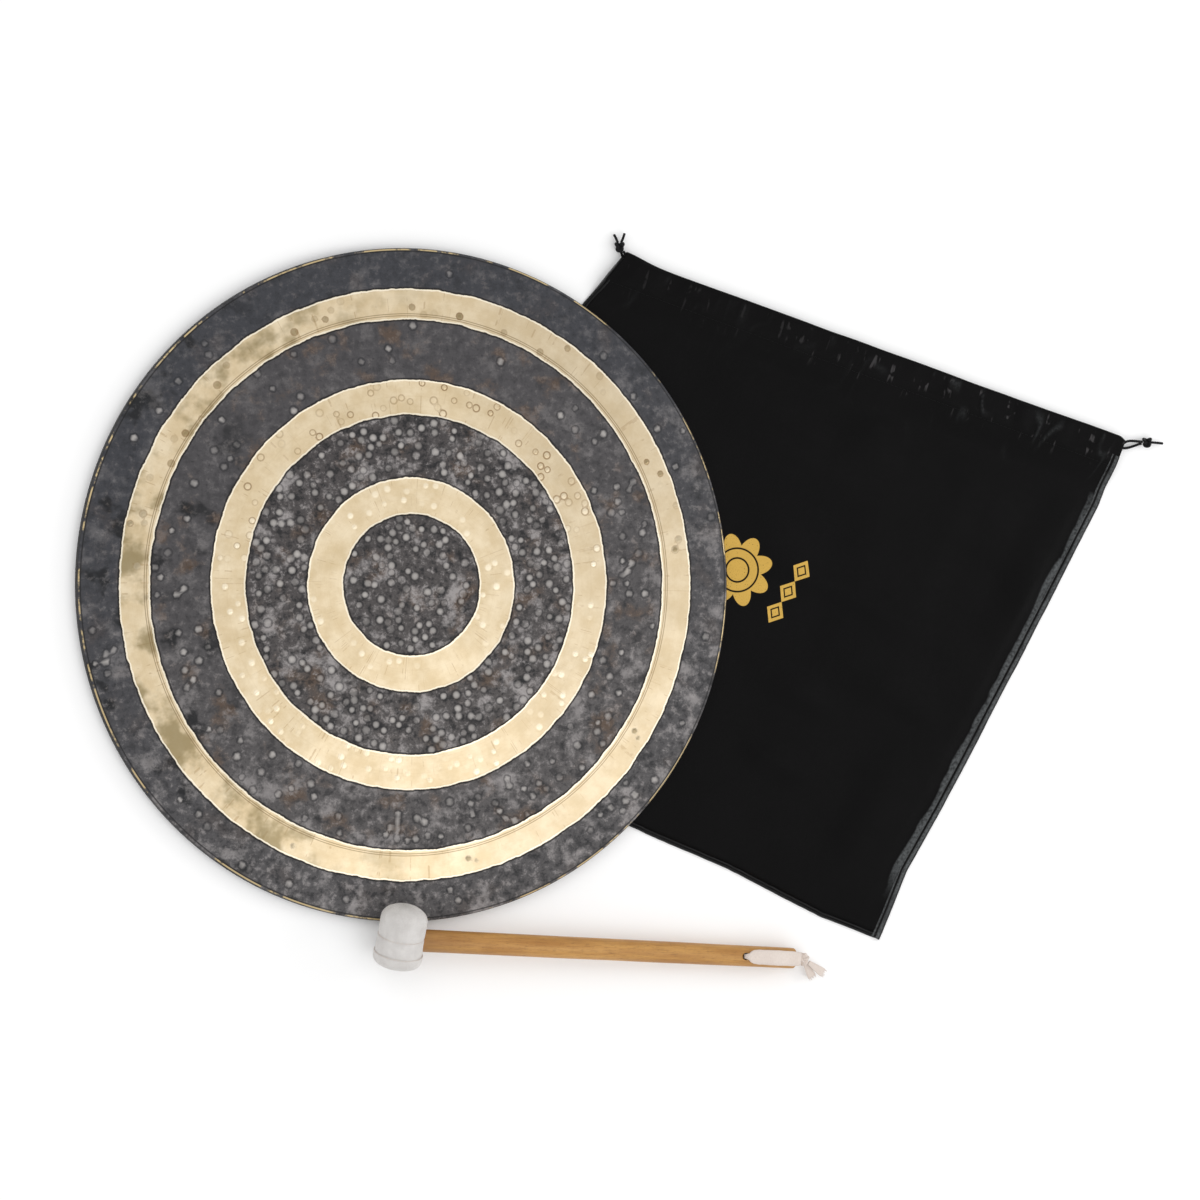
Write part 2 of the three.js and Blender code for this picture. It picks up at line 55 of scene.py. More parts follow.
def make_camera():
    data = bpy.data.cameras.new("camera")
    data.sensor_width = 36.0
    data.lens = 196.65
    camera = add_object("camera", data)
    away = Vector((-math.sin(CAMERA_LEAN), 0.0, math.cos(CAMERA_LEAN)))
    camera.location = CAMERA_TARGET + away * CAMERA_DISTANCE
    camera.rotation_euler = (0.0, -CAMERA_LEAN, 0.0)
    bpy.context.scene.camera = camera


make_camera()

# ---------------------------------------------------------------- numbers


def smooth_step(value, low, high):
    """0 below low, 1 above high, and a smooth rise between."""
    share = np.clip((value - low) / (high - low), 0.0, 1.0)
    return share * share * (3.0 - 2.0 * share)


def noise(x, y, cell, seed):
    """Smooth random values from -1 to 1 over the plane, one for each square cell."""
    cells = 128  # each way, before the pattern comes again
    lattice = np.random.default_rng(seed).uniform(-1.0, 1.0, (cells, cells))
    column = np.floor(x / cell).astype(int)
    row = np.floor(y / cell).astype(int)
    right = smooth_step(x / cell - column, 0.0, 1.0)
    up = smooth_step(y / cell - row, 0.0, 1.0)

    def at(columns, rows):
        return lattice[(column + columns) % cells, (row + rows) % cells]

    low = at(0, 0) * (1.0 - right) + at(1, 0) * right
    high = at(0, 1) * (1.0 - right) + at(1, 1) * right
    return low * (1.0 - up) + high * up


def wander(x, cell, seed):
    """Smooth random values from -1 to 1 along a line."""
    return noise(x, x * 0.0, cell, seed)


def length_of(vector):
    return float(np.linalg.norm(vector))


def unit(vector):
    return vector / length_of(vector)


def pairs(first, second):
    """A grid of every (first, second) there is."""
    return np.stack(np.meshgrid(first, second, indexing="ij"), axis=-1)


def smooth_path(points, step):
    """Points about a step apart on the centripetal Catmull-Rom curve through the given points."""
    given = np.asarray(points, dtype=float)
    given = np.vstack([2 * given[0] - given[1], given, 2 * given[-1] - given[-2]])
    out = []
    for a, b, c, d in zip(given, given[1:], given[2:], given[3:]):
        t1 = np.linalg.norm(b - a) ** 0.5
        t2 = t1 + np.linalg.norm(c - b) ** 0.5
        t3 = t2 + np.linalg.norm(d - c) ** 0.5
        count = max(2, round(np.linalg.norm(c - b) / step))
        t = np.linspace(t1, t2, count, endpoint=False)[:, None]
        ab = (a * (t1 - t) + b * t) / t1
        bc = (b * (t2 - t) + c * (t - t1)) / (t2 - t1)
        cd = (c * (t3 - t) + d * (t - t2)) / (t3 - t2)
        abc = (ab * (t2 - t) + bc * t) / t2
        bcd = (bc * (t3 - t) + cd * (t - t1)) / (t3 - t1)
        out.extend((abc * (t2 - t) + bcd * (t - t1)) / (t2 - t1))
    out.append(given[-2])
    return np.array(out)


def lengths_along(path):
    """The distance from the path's start to each of its points."""
    return np.concatenate([[0.0], np.cumsum(np.linalg.norm(np.diff(path, axis=0), axis=1))])


# ---------------------------------------------------------------- meshes


def make_mesh(name, points, faces, corner_uvs, finish):
    """An object of smooth faces; corner_uvs has one pair for each corner of each face, in order."""
    mesh = bpy.data.meshes.new(name)
    mesh.from_pydata(np.asarray(points).tolist(), [], faces)
    layer = mesh.uv_layers.new(name="plan")
    layer.data.foreach_set("uv", np.asarray(corner_uvs, dtype=np.float32).ravel())
    work = bmesh.new()
    work.from_mesh(mesh)
    bmesh.ops.recalc_face_normals(work, faces=work.faces)
    work.to_mesh(mesh)
    work.free()
    mesh.polygons.foreach_set("use_smooth", [True] * len(mesh.polygons))
    mesh.materials.append(finish.material)
    return add_object(name, mesh)


class Mesh:
    """Gathers grids of points into one mesh."""

    def __init__(self):
        self.points = []
        self.faces = []
        self.uvs = []

    def add(self, grid, uv, wrap=False, caps=False):
        """Adds a grid of (rows, columns, 3). wrap joins its last column to its first, and uv then has a
        column more; caps closes both ends."""
        rows, columns = grid.shape[:2]
        start = len(self.points)
        self.points.extend(grid.reshape(-1, 3))
        for i in range(rows - 1):
            for j in range(columns if wrap else columns - 1):
                after = (j + 1) % columns
                low = start + i * columns
                high = low + columns
                self.faces.append((low + j, low + after, high + after, high + j))
                self.uvs.extend((uv[i, j], uv[i, j + 1], uv[i + 1, j + 1], uv[i + 1, j]))
        if caps:
            for i in (0, rows - 1):
                self.faces.append(tuple(range(start + i * columns, start + (i + 1) * columns)))
                self.uvs.extend(uv[i, :columns])

    def add_tube(self, path, half_width, half_height, **section):
        """Adds a tube round a path, with closed ends."""
        grid, uv = sweep_grid(path, half_width, half_height, **section)
        self.add(grid, uv, wrap=True, caps=True)

    def add_loop(self, path, half_width, half_height, **section):
        """Adds a tube round a path that comes back to its start."""
        grid, uv = sweep_grid(path, half_width, half_height, closed=True, **section)
        grid = np.concatenate([grid, grid[:1]])
        uv = np.concatenate([uv, uv[-1:] + (uv[1] - uv[0])])
        self.add(grid, uv, wrap=True)

    def make(self, name, finish):
        return make_mesh(name, self.points, self.faces, self.uvs, finish)


def surface(name, grid, uv, finish, wrap=False, caps=False):
    mesh = Mesh()
    mesh.add(grid, uv, wrap, caps)
    return mesh.make(name, finish)


def apply_modifiers(obj):
    """Makes what the modifiers show the object's own mesh."""
    shown = obj.evaluated_get(bpy.context.evaluated_depsgraph_get())
    mesh = bpy.data.meshes.new_from_object(shown)
    obj.modifiers.clear()
    obj.data = mesh


def thicken(obj, thickness):
    """Turns an open sheet into a closed one, with its middle where the sheet was."""
    solid = obj.modifiers.new("thickness", "SOLIDIFY")
    solid.thickness = thickness
    solid.offset = 0.0
    apply_modifiers(obj)


def drill_hole(obj, place, direction, radius, depth, sides, carried=Matrix()):
    """Cuts a round hole; carried brings the frame of its place and direction to the piece's own."""
    mesh = bpy.data.meshes.new("drill")
    work = bmesh.new()
    bmesh.ops.create_cone(work, cap_ends=True, segments=sides, radius1=radius, radius2=radius, depth=depth)
    aim = direction.to_track_quat("Z", "Y").to_matrix().to_4x4()
    bmesh.ops.transform(work, verts=work.verts, matrix=Matrix.Translation(place) @ aim)
    bmesh.ops.transform(work, verts=work.verts, matrix=carried)
    work.to_mesh(mesh)
    work.free()
    drill = add_object("drill", mesh)
    bore = obj.modifiers.new("hole", "BOOLEAN")
    bore.operation = "DIFFERENCE"
    bore.solver = "EXACT"
    bore.object = drill
    apply_modifiers(obj)
    bpy.data.objects.remove(drill)


def declare(obj, body, slot, *nodes):
    """Says which body a piece moves with, and the CAD nodes it is shown in place of; slot is not used."""
    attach(obj, body)
    if nodes:
        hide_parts(*nodes)


def sweep_grid(path, half_width, half_height, across=None, sides=12, squareness=1.0, closed=False):
    """The points round a path, as a grid and its uv: distance along and distance round.

    across is the direction of the section's width; without it the section is carried along untwisted.
    squareness 1 is an ellipse and 0.3 nearly a rectangle.
    """
    path = np.asarray(path)
    if closed:
        tangents = np.roll(path, -1, axis=0) - np.roll(path, 1, axis=0)
    else:
        tangents = np.gradient(path, axis=0)
    tangents /= np.linalg.norm(tangents, axis=1)[:, None]
    wide = np.zeros_like(path)
    last = np.array([0.0, 0.0, 1.0]) if across is None else np.asarray(across, dtype=float)
    if across is None and abs(tangents[0][2]) > 0.9:
        last = np.array([1.0, 0.0, 0.0])
    for i, tangent in enumerate(tangents):
        direction = last - tangent * np.dot(last, tangent)
        direction /= np.linalg.norm(direction)
        wide[i] = direction
        if across is None:
            last = direction
    high = np.cross(tangents, wide)
    angle = np.linspace(0.0, 2 * np.pi, sides + 1)
    cosine = np.sign(np.cos(angle)) * np.abs(np.cos(angle)) ** squareness
    sine = np.sign(np.sin(angle)) * np.abs(np.sin(angle)) ** squareness
    half_width = np.broadcast_to(half_width, len(path))[:, None, None]
    half_height = np.broadcast_to(half_height, len(path))[:, None, None]
    ring = wide[:, None] * cosine[None, :, None] * half_width
    ring = ring + high[:, None] * sine[None, :, None] * half_height
    grid = path[:, None] + ring
    mean = float(np.mean(half_width) + np.mean(half_height)) / 2
    return grid[:, :-1], pairs(lengths_along(path), angle * mean)


def trefoil(angle, depth):
    """Points of a trefoil knot about six across, a lap of which is a turn of the angle."""
    x = np.sin(angle) + 2 * np.sin(2 * angle)
    y = np.cos(angle) - 2 * np.cos(2 * angle)
    return np.stack([x, y, -depth * np.sin(3 * angle)], axis=1)


# ---------------------------------------------------------------- materials


def shade(red, green, blue):
    """A colour given as it shows on a screen, 0 to 255, as a shader's linear colour."""

    def linear(value):
        value /= 255.0
        return value / 12.92 if value <= 0.04045 else ((value + 0.055) / 1.055) ** 2.4

    return (linear(red), linear(green), linear(blue), 1.0)


class Value:
    """A node's output. Each sign written between values adds a Math node."""

    def __init__(self, finish, socket):
        self.finish = finish
        self.socket = socket

    def __add__(self, other):
        return self.finish.math("ADD", self, other)

    def __radd__(self, other):
        return self.finish.math("ADD", other, self)

    def __sub__(self, other):
        return self.finish.math("SUBTRACT", self, other)

    def __rsub__(self, other):
        return self.finish.math("SUBTRACT", other, self)

    def __mul__(self, other):
        return self.finish.math("MULTIPLY", self, other)

    def __abs__(self):
        return self.finish.math("ABSOLUTE", self)


class Finish:
    """A node material. Most methods add a node and return its output."""

    def __init__(self, name, **sockets):
        self.material = bpy.data.materials.new(name)
        self.material.use_nodes = True
        self.tree = self.material.node_tree
        self.shader = self.tree.nodes["Principled BSDF"]
        for socket, value in sockets.items():
            self.set(socket, value)

    def set(self, socket, value):
        """Sets or links one socket of the shader, named with _ for a space."""
        self.feed(self.shader.inputs[socket.replace("_", " ")], value)

    def linked(self, socket):
        """What is linked to one socket of the shader, or None."""
        links = self.shader.inputs[socket.replace("_", " ")].links
        return Value(self, links[0].from_socket) if links else None

    def feed(self, socket, value):
        if isinstance(value, Value):
            self.tree.links.new(value.socket, socket)
        else:
            socket.default_value = value

    def add(self, kind, *values, **settings):
        """Adds a node with its settings and its first inputs."""
        node = self.tree.nodes.new("ShaderNode" + kind)
        for key, value in settings.items():
            setattr(node, key, value)
        for socket, value in zip(node.inputs, values):
            self.feed(socket, value)
        return node

    def first(self, kind, *values, **settings):
        """The first output of a new node."""
        return Value(self, self.add(kind, *values, **settings).outputs[0])

    def math(self, operation, *values):
        return self.first("Math", *values, operation=operation)

    def plan(self):
        """The piece's own flat coordinates, in metres."""
        return self.first("UVMap", uv_map="plan")

    def parts(self, vector):
        return [Value(self, output) for output in self.add("SeparateXYZ", vector).outputs]

    def stretch(self, vector, *factors):
        return self.first("VectorMath", vector, factors, operation="MULTIPLY")

    def attribute(self, name):
        return Value(self, self.add("Attribute", attribute_name=name).outputs["Fac"])

    def step(self, value, low, high):
        """0 where value is at low or beyond, 1 where it is at high or beyond, and smooth between."""
        return self.first("MapRange", value, low, high, interpolation_type="SMOOTHSTEP")

    def line(self, value, place, width):
        """1 where value is at place, falling to 0 at width on each side."""
        return 1.0 - self.step(abs(value - place), width * 0.4, width)

    def noise(self, place, scale, detail=4.0, roughness=0.55):
        node = self.add("TexNoise", place)
        node.inputs["Scale"].default_value = scale
        node.inputs["Detail"].default_value = detail
        node.inputs["Roughness"].default_value = roughness
        return Value(self, node.outputs["Fac"])

    def patches(self, place, scale, low, high, detail=4.0, roughness=0.55):
        """1 in the patches where noise is above high, falling to 0 where it is below low."""
        return self.step(self.noise(place, scale, detail, roughness), low, high)

    def layers(self, colour, *coats):
        """A colour with coats of (share, colour) laid over it, one after another."""
        for share, coat in coats:
            node = self.add("Mix", data_type="RGBA")
            self.feed(node.inputs[0], share)
            self.feed(node.inputs[6], colour)
            self.feed(node.inputs[7], coat)
            colour = Value(self, node.outputs[2])
        return colour

    def bump(self, height, distance, strength=1.0):
        """Adds to the shader's normal a relief of height times distance, in metres."""
        node = self.add("Bump")
        node.inputs["Strength"].default_value = strength
        node.inputs["Distance"].default_value = distance
        self.feed(node.inputs["Height"], height)
        before = self.linked("Normal")
        if before:
            self.feed(node.inputs["Normal"], before)
        self.set("Normal", Value(self, node.outputs[0]))


def weave_finish(name, light, dark, pitch, depth, roughness=0.85, sheen=0.2, blotch=40.0):
    """Plain-woven cloth in two tones, with threads a pitch apart that stand depth high, and blotches of
    which there are about as many as blotch in a metre."""
    finish = Finish(name, Roughness=roughness, Sheen_Weight=sheen, Sheen_Roughness=0.5)
    plan = finish.plan()
    u, v, _ = finish.parts(plan)
    turn = 2 * math.pi / pitch
    drift = finish.noise(plan, 0.25 / pitch, 2.0) * 2.0
    warp = finish.math("SINE", u * turn + drift)
    weft = finish.math("SINE", v * turn + drift)
    thread = finish.step(warp * weft, -1.0, 1.0)
    tone = finish.noise(plan, blotch, 5.0)
    fuzz = finish.noise(plan, 1.3 / pitch, 3.0)
    value = thread * 0.35 + tone * 0.4 + fuzz * 0.25
    finish.set("Base_Color", finish.layers(dark, (finish.step(value, 0.28, 0.72), light)))
    finish.bump(thread + fuzz * 0.5, depth)
    return finish


def cord_finish(name, light, dark):
    """Braided cord: two sets of strands that cross on its surface."""
    finish = Finish(name, Roughness=0.6, Specular_IOR_Level=0.15)
    plan = finish.plan()
    u, v, _ = finish.parts(plan)
    along = u * (2 * math.pi / (BRAID_PITCH / 2))
    around = v * (3.0 / CORD_RADIUS)
    left = finish.math("SINE", along + around)
    right = finish.math("SINE", along - around)
    braid = finish.step(finish.math("MAXIMUM", left, right), -0.4, 1.0)
    fuzz = finish.noise(plan, 1500.0, 3.0)
    tone = braid * 0.6 + fuzz * 0.4
    finish.set("Base_Color", finish.layers(dark, (tone, light)))
    finish.bump(braid + fuzz * 0.4, 0.0002)
    return finish


def wood_finish(name, light, middle, dark, darker_until):
    """Turned wood, with its grain along the piece; darker_until is how far its handled end is darker."""
    finish = Finish(name, Specular_IOR_Level=0.45, Coat_Weight=0.15, Coat_Roughness=0.35)
    plan = finish.plan()
    along, _, _ = finish.parts(plan)

    def grain(lengthwise, crosswise, detail, roughness=0.55):
        return finish.noise(finish.stretch(plan, lengthwise, crosswise, 1.0), 1.0, detail, roughness)

    broad = grain(9.0, 130.0, 4.0, 0.6)
    fine = grain(60.0, 1400.0, 3.0, 0.6)
    cloud = grain(18.0, 40.0, 2.0)
    pores = finish.step(grain(220.0, 2600.0, 1.0), 0.62, 0.72)
    stain = 1.0 - finish.step(along, 0.0, darker_until)
    finish.set("Base_Color", finish.layers(
        middle,
        (finish.step(broad * 0.7 + cloud * 0.3, 0.3, 0.7), light),
        (finish.step(fine, 0.5, 0.75) * 0.55, dark),
        (pores * 0.6, dark),
        (stain * cloud * 0.9, dark),
    ))
    finish.set("Roughness", 0.42 + fine * 0.2)
    finish.bump(fine * 0.6 - pores, 0.00012)
    return finish


def felt_finish(name, light, dark):
    finish = Finish(name, Roughness=0.95, Sheen_Weight=0.4, Sheen_Roughness=0.6)
    plan = finish.plan()
    matted = finish.noise(plan, 350.0, 6.0, 0.7)
    hair = finish.noise(finish.stretch(plan, 300.0, 2500.0, 1.0), 1.0, 3.0, 0.7)
    tone = matted * 0.6 + hair * 0.4
    finish.set("Base_Color", finish.layers(dark, (finish.step(tone, 0.3, 0.7), light)))
    finish.bump(tone, 0.0006)
    return finish


# ---------------------------------------------------------------- cords

CORD_RADIUS = 0.0012
CORD_SIDES = 12
BRAID_PITCH = 0.0044

# the bag's corners, the same as in the CAD
MOUTH_LEFT = np.array([0.208, 0.303])
MOUTH_RIGHT = np.array([0.700, 0.140])
BOTTOM_RIGHT = np.array([0.457, -0.329])
BOTTOM_LEFT = np.array([-0.109, -0.074])
MOUTH_LENGTH = length_of(MOUTH_RIGHT - MOUTH_LEFT)
BOTTOM_LENGTH = length_of(BOTTOM_RIGHT - BOTTOM_LEFT)
ALONG_MOUTH = (MOUTH_RIGHT - MOUTH_LEFT) / MOUTH_LENGTH
OUT_OF_MOUTH = np.array([-ALONG_MOUTH[1], ALONG_MOUTH[0]])

HEM_END = 0.004  # the hems stop this far short of the bag's corners
FRONT_CORD_Z = 0.0066
BACK_CORD_Z = 0.0021
PULL_LENGTH = 0.165  # of cord inside the hems that a pull draws out
TURN_REACH = 0.002  # how far a cord stands out of the hems where it turns back
KNOT_Z = 0.0052
KNOT_RADIUS = 0.005

black_cord = cord_finish("braided_black_cord", shade(26, 26, 28), shade(6, 6, 7))


def from_mouth(x, y, z):
    """A place given along the mouth's edge, out from it, and up."""
    flat = MOUTH_LEFT + ALONG_MOUTH * x + OUT_OF_MOUTH * y
    return np.array([flat[0], flat[1], z])


def cord_piece(name, points, body, node, step=0.0007):
    """A braided cord along a route, in place of its CAD node."""
    path = smooth_path(points, step)
    grid, uv = sweep_grid(path, CORD_RADIUS, CORD_RADIUS, sides=CORD_SIDES)
    twist = np.arange(CORD_SIDES) / CORD_SIDES * 2 * np.pi
    along = lengths_along(path)[:, None] * 2 * np.pi / BRAID_PITCH
    strands = np.abs(np.sin(along + twist)) * np.abs(np.sin(along - twist))
    grid = path[:, None] + (grid - path[:, None]) * (0.93 + 0.14 * strands[..., None])
    obj = surface(name, grid, uv, black_cord, wrap=True, caps=True)
    declare(obj, body, "bag_cord", node)
    return obj, path


def declare_cord(path):
    """Picks every sixth point of a cord's path and its last; nothing is done with them."""
    points = [tuple(p) for p in path[::6]] + [tuple(path[-1])]


def cord_knot(side, centre):
    """A tight ball of cord, wound of trefoils one inside another."""
    angle = np.linspace(0.0, 2 * np.pi, 220, endpoint=False)
    mesh = Mesh()
    for shift, size in ((0.0, 1.12), (0.5, 0.84), (1.0, 0.56)):
        reach = (KNOT_RADIUS - CORD_RADIUS) * size / 3.0
        path = trefoil(angle + shift, 2.2) * reach + centre
        mesh.add_loop(path, CORD_RADIUS, CORD_RADIUS, sides=10)
    obj = mesh.make(f"{side}_cord_knot", black_cord)
    join = bmesh.new()
    join.from_mesh(obj.data)
    bmesh.ops.remove_doubles(join, verts=join.verts, dist=1e-7)
    join.to_mesh(obj.data)
    join.free()
    declare(obj, f"{side}_drawstring", "bag_cord", f"drawstring_{side}_knot")
    return obj


def drawstring(side, end, outwards, offset, knot_offset, opening, tails):
    """The two strands, knot and tails that slide out of the hems at one end of the mouth."""
    body = f"{side}_drawstring"
    knot = np.array([end + knot_offset[0], knot_offset[1], KNOT_Z])
    pieces = [cord_knot(side, from_mouth(*knot))]
    for number, reach in enumerate(tails, 1):
        reach = np.array(reach)
        start = knot + unit(reach) * KNOT_RADIUS * 0.8
        middle = (start + knot + reach) / 2 + np.array([0.0, 0.0, 0.0006])
        route = [from_mouth(*p) for p in (start, middle, knot + reach)]
        node = f"drawstring_{side}_tail_{number}"
        tail, _ = cord_piece(f"{side}_cord_tail_{number}", route, body, node, step=0.0004)
        pieces.append(tail)
    for layer, z, spread in (("front", FRONT_CORD_Z, 1.0), ("back", BACK_CORD_Z, -1.0)):
        mouth = np.array([end, offset, z])
        meet = mouth + (knot - mouth) * 0.3 + np.array([0.0, spread * opening, 0.0])
        at_knot = knot - unit(knot - meet) * (KNOT_RADIUS + CORD_RADIUS * 0.3)
        last = at_knot + np.array([0.0, 0.0, spread * 0.0012])
        route = [
            from_mouth(end - outwards * PULL_LENGTH, offset, z),
            from_mouth(end - outwards * 0.008, offset, z),
            from_mouth(*mouth),
            from_mouth(*meet),
            from_mouth(*last),
        ]
        name = f"{side}_cord_{layer}_strand"
        strand, path = cord_piece(name, route, body, f"drawstring_{side}_{layer}_strand")
        declare_cord(path)


def hidden_run(side, start, end, offset):
    """The part of a cord that stays in the hems: along the front one, round at its end, and back."""
    outwards = math.copysign(1.0, end - start)
    turn = end + outwards * TURN_REACH
    route = [
        from_mouth(start, offset, FRONT_CORD_Z),
        from_mouth(end - outwards * TURN_REACH, offset, FRONT_CORD_Z),
        from_mouth(end, offset, FRONT_CORD_Z),
        from_mouth(turn, offset, (FRONT_CORD_Z * 3 + BACK_CORD_Z) / 4),
        from_mouth(turn, offset, (FRONT_CORD_Z + BACK_CORD_Z * 3) / 4),
        from_mouth(end, offset, BACK_CORD_Z),
        from_mouth(end - outwards * TURN_REACH, offset, BACK_CORD_Z),
        from_mouth(start, offset, BACK_CORD_Z),
    ]
    run, path = cord_piece(f"{side}_cord_in_hem", route, "bag", f"{side}_cord_in_hems", step=0.0015)
    declare_cord(path)


LEFT_CORD = -0.005  # the cords lie this far in from the mouth's edge
RIGHT_CORD = -0.011
CORD_GAP = 0.0003  # between the part of a cord that slides and the part that stays
left_end = HEM_END
right_end = MOUTH_LENGTH - HEM_END
left_tails = [(0.001, 0.013, -0.001), (-0.008, 0.009, -0.002)]
right_tails = [(0.016, 0.004, -0.002)]
drawstring("left", left_end, -1.0, LEFT_CORD, (-0.0105, 0.005), 0.0016, left_tails)
drawstring("right", right_end, 1.0, RIGHT_CORD, (0.027, 0.002), 0.0034, right_tails)
hidden_run("left", left_end + PULL_LENGTH + CORD_GAP, right_end, LEFT_CORD)
hidden_run("right", right_end - PULL_LENGTH - CORD_GAP, left_end, RIGHT_CORD)

# ---------------------------------------------------------------- beater's strap

HEAD_CENTRE = Vector((-0.011, -0.3172186, 0.0297660))
HEAD_AXIS = Vector((0.0734803, 0.9427650, 0.3252610)).normalized()
HANDLE_ALONG = Vector((0.9970852, -0.0627313, -0.0434275)).normalized()
HANDLE_SIDE = Vector((0.0628407, 0.9980236, 0.0)).normalized()
HANDLE_OFFSET = -0.003  # along the head, from its middle
HANDLE_LENGTH = 0.382
HOLE_FROM_END = 0.051
HOLE_RADIUS = 0.0033

HANDLE_UP = HANDLE_ALONG.cross(HANDLE_SIDE)
HOLE_PLACE = HEAD_CENTRE + HEAD_AXIS * HANDLE_OFFSET + HANDLE_ALONG * (HANDLE_LENGTH - HOLE_FROM_END)

COTTON_PITCH = 0.0011  # from thread to thread
cotton_tape = weave_finish("cotton_tape", shade(238, 227, 219), shade(206, 191, 180), COTTON_PITCH, 0.00016)


def from_hole(x, y, z):
    """A place given from the middle of the strap's hole: along the handle, across it, and up."""
    return np.array(HOLE_PLACE + HANDLE_ALONG * x + HANDLE_SIDE * y + HANDLE_UP * z)


TAPE_THICKNESS = 0.0012
# along the handle, up from its axis, width, thickness: the tape's upper half, from the hole to the knot
STRAP_HALF = [
    (0.0000, 0.0062, 0.0042, 0.0032),
    (0.0007, 0.0098, 0.0046, 0.0030),
    (0.0022, 0.0116, 0.0062, 0.0026),
    (0.0045, 0.0118, 0.0104, 0.0020),
    (0.0075, 0.0112, 0.0130, 0.0015),
    (0.0140, 0.0107, 0.0138, TAPE_THICKNESS),
    (0.0300, 0.0107, 0.0142, TAPE_THICKNESS),
    (0.0460, 0.0107, 0.0138, TAPE_THICKNESS),
    (0.0516, 0.0102, 0.0128, TAPE_THICKNESS),
    (0.0548, 0.0070, 0.0108, TAPE_THICKNESS),
    (0.0558, 0.0026, 0.0090, TAPE_THICKNESS),
]


def tape_grid(stations, across, step):
    """A flat tape along stations of (place, width, thickness), with edges that wander a little."""
    places = np.array([place for place, _, _ in stations])
    path = smooth_path(places, step)
    given = lengths_along(places)
    at = lengths_along(path)
    at = at / at[-1] * given[-1]
    width = np.interp(at, given, [w for _, w, _ in stations])
    thickness = np.interp(at, given, [t for _, _, t in stations])
    width = width * (1.0 + 0.02 * wander(at, 0.004, 31))
    return sweep_grid(path, width / 2, thickness / 2, across, sides=28, squareness=0.45)


STRAP_KNOT_X = 0.061  # from the hole, along the handle
STRAP_KNOT_Z = -0.0025
STRAP_TIP_Z = -0.0050


def make_strap_knot():
    """Two laps of tape wound as trefoils, one turned against the other."""
    centre = from_hole(STRAP_KNOT_X, 0.0, STRAP_KNOT_Z)
    angle = np.linspace(0.0, 2 * np.pi, 200, endpoint=False)
    mesh = Mesh()
    for turn, sizes, width in ((0.0, (1.25, 1.45, 1.15), 0.0028), (1.1, (1.0, 1.15, 0.8), 0.0030)):
        lap = trefoil(angle, 1.6) * np.array(sizes) * 0.001
        turned = np.array(Matrix.Rotation(turn, 3, "X")) @ lap.T
        path = np.array([centre + HANDLE_ALONG * x + HANDLE_SIDE * y + HANDLE_UP * z for x, y, z in turned.T])
        mesh.add_loop(path, width, 0.0011, sides=16, squareness=0.7)
    knot = mesh.make("strap_tape_knot", cotton_tape)
    declare(knot, "strap", "strap_tape", "strap_knot")
    return knot


def make_strap_tail(name, tip, up, draws):
    """One cut end of the tape beyond the knot, widening to a fringe of threads."""
    start = np.array([STRAP_KNOT_X, 0.0, STRAP_KNOT_Z + up])
    end = np.array([tip[0], tip[1], STRAP_TIP_Z + up])
    reach = end - start
    run = unit(reach)
    side = np.array(HANDLE_ALONG * -run[1] + HANDLE_SIDE * run[0])
    stations = [(from_hole(*(start + reach * share)), width, TAPE_THICKNESS)
                for share, width in ((0.25, 0.0040), (0.5, 0.0060), (0.75, 0.0078), (0.93, 0.0082))]
    grid, uv = tape_grid(stations, side, 0.0006)
    mesh = Mesh()
    mesh.add(grid, uv, wrap=True, caps=True)
    for thread in np.linspace(-0.0036, 0.0036, 13):
        end_share = draws.uniform(0.97, 1.06)
        lean = draws.uniform(-0.0007, 0.0007)
        root = from_hole(*(start + reach * 0.91)) + side * thread
        end_place = from_hole(*(start + reach * end_share)) + side * (thread + lean)
        middle = (root + end_place) / 2 + draws.uniform(-1, 1, 3) * 0.0002
        path = smooth_path([root, middle, end_place], 0.0006)
        mesh.add_tube(path, np.linspace(0.0003, 0.00015, len(path)), 0.0002, across=side, sides=6)
    tail = mesh.make(f"strap_tape_tail_{name}", cotton_tape)
    declare(tail, "strap", "strap_tape", f"strap_tail_{name}")
    return tail


def make_strap():
    upper = [(from_hole(x, 0.0, z), w, t) for x, z, w, t in STRAP_HALF]
    lower = [(from_hole(x, 0.0, -z), w, t) for x, z, w, t in reversed(STRAP_HALF)]
    grid, uv = tape_grid(upper + lower, HANDLE_SIDE, 0.0010)
    loop = surface("strap_tape_loop", grid, uv, cotton_tape, wrap=True, caps=True)
    declare(loop, "strap", "strap_tape", "strap_loop")
    knot = make_strap_knot()
    draws = np.random.default_rng(5)
    tails = [
        make_strap_tail("long", (0.0835, -0.0130), 0.0009, draws),
        make_strap_tail("short", (0.0730, -0.0175), -0.0009, draws),
    ]
    tuple(from_hole(0.0, 0.0, 0.0062))


make_strap()

# ---------------------------------------------------------------- gong

GONG_RADIUS = 0.305
GONG_TILT = 0.004246  # its right side lies on the bag
GONG_LIFT = 0.001295
CORNER_RADIUS = 0.003
FACE_END = GONG_RADIUS - CORNER_RADIUS
SHEET = 0.0018
RIM_DEPTH = 0.010
DOME = 0.016
DOME_FLAT = 0.025
BRASS_RINGS = ((0.064, 0.097), (0.1535, 0.1855), (0.240, 0.268))
GROOVES = (0.2434, 0.2452)  # turned near the inside of the outer ring
CORD_HOLE_DEGREES = (72.0, 108.0)  # round the rim from the gong's right
CORD_HOLE_RADIUS = 0.0025
CORD_HOLE_Z = 0.0045
RIM_POINTS = 600  # round the gong's edge

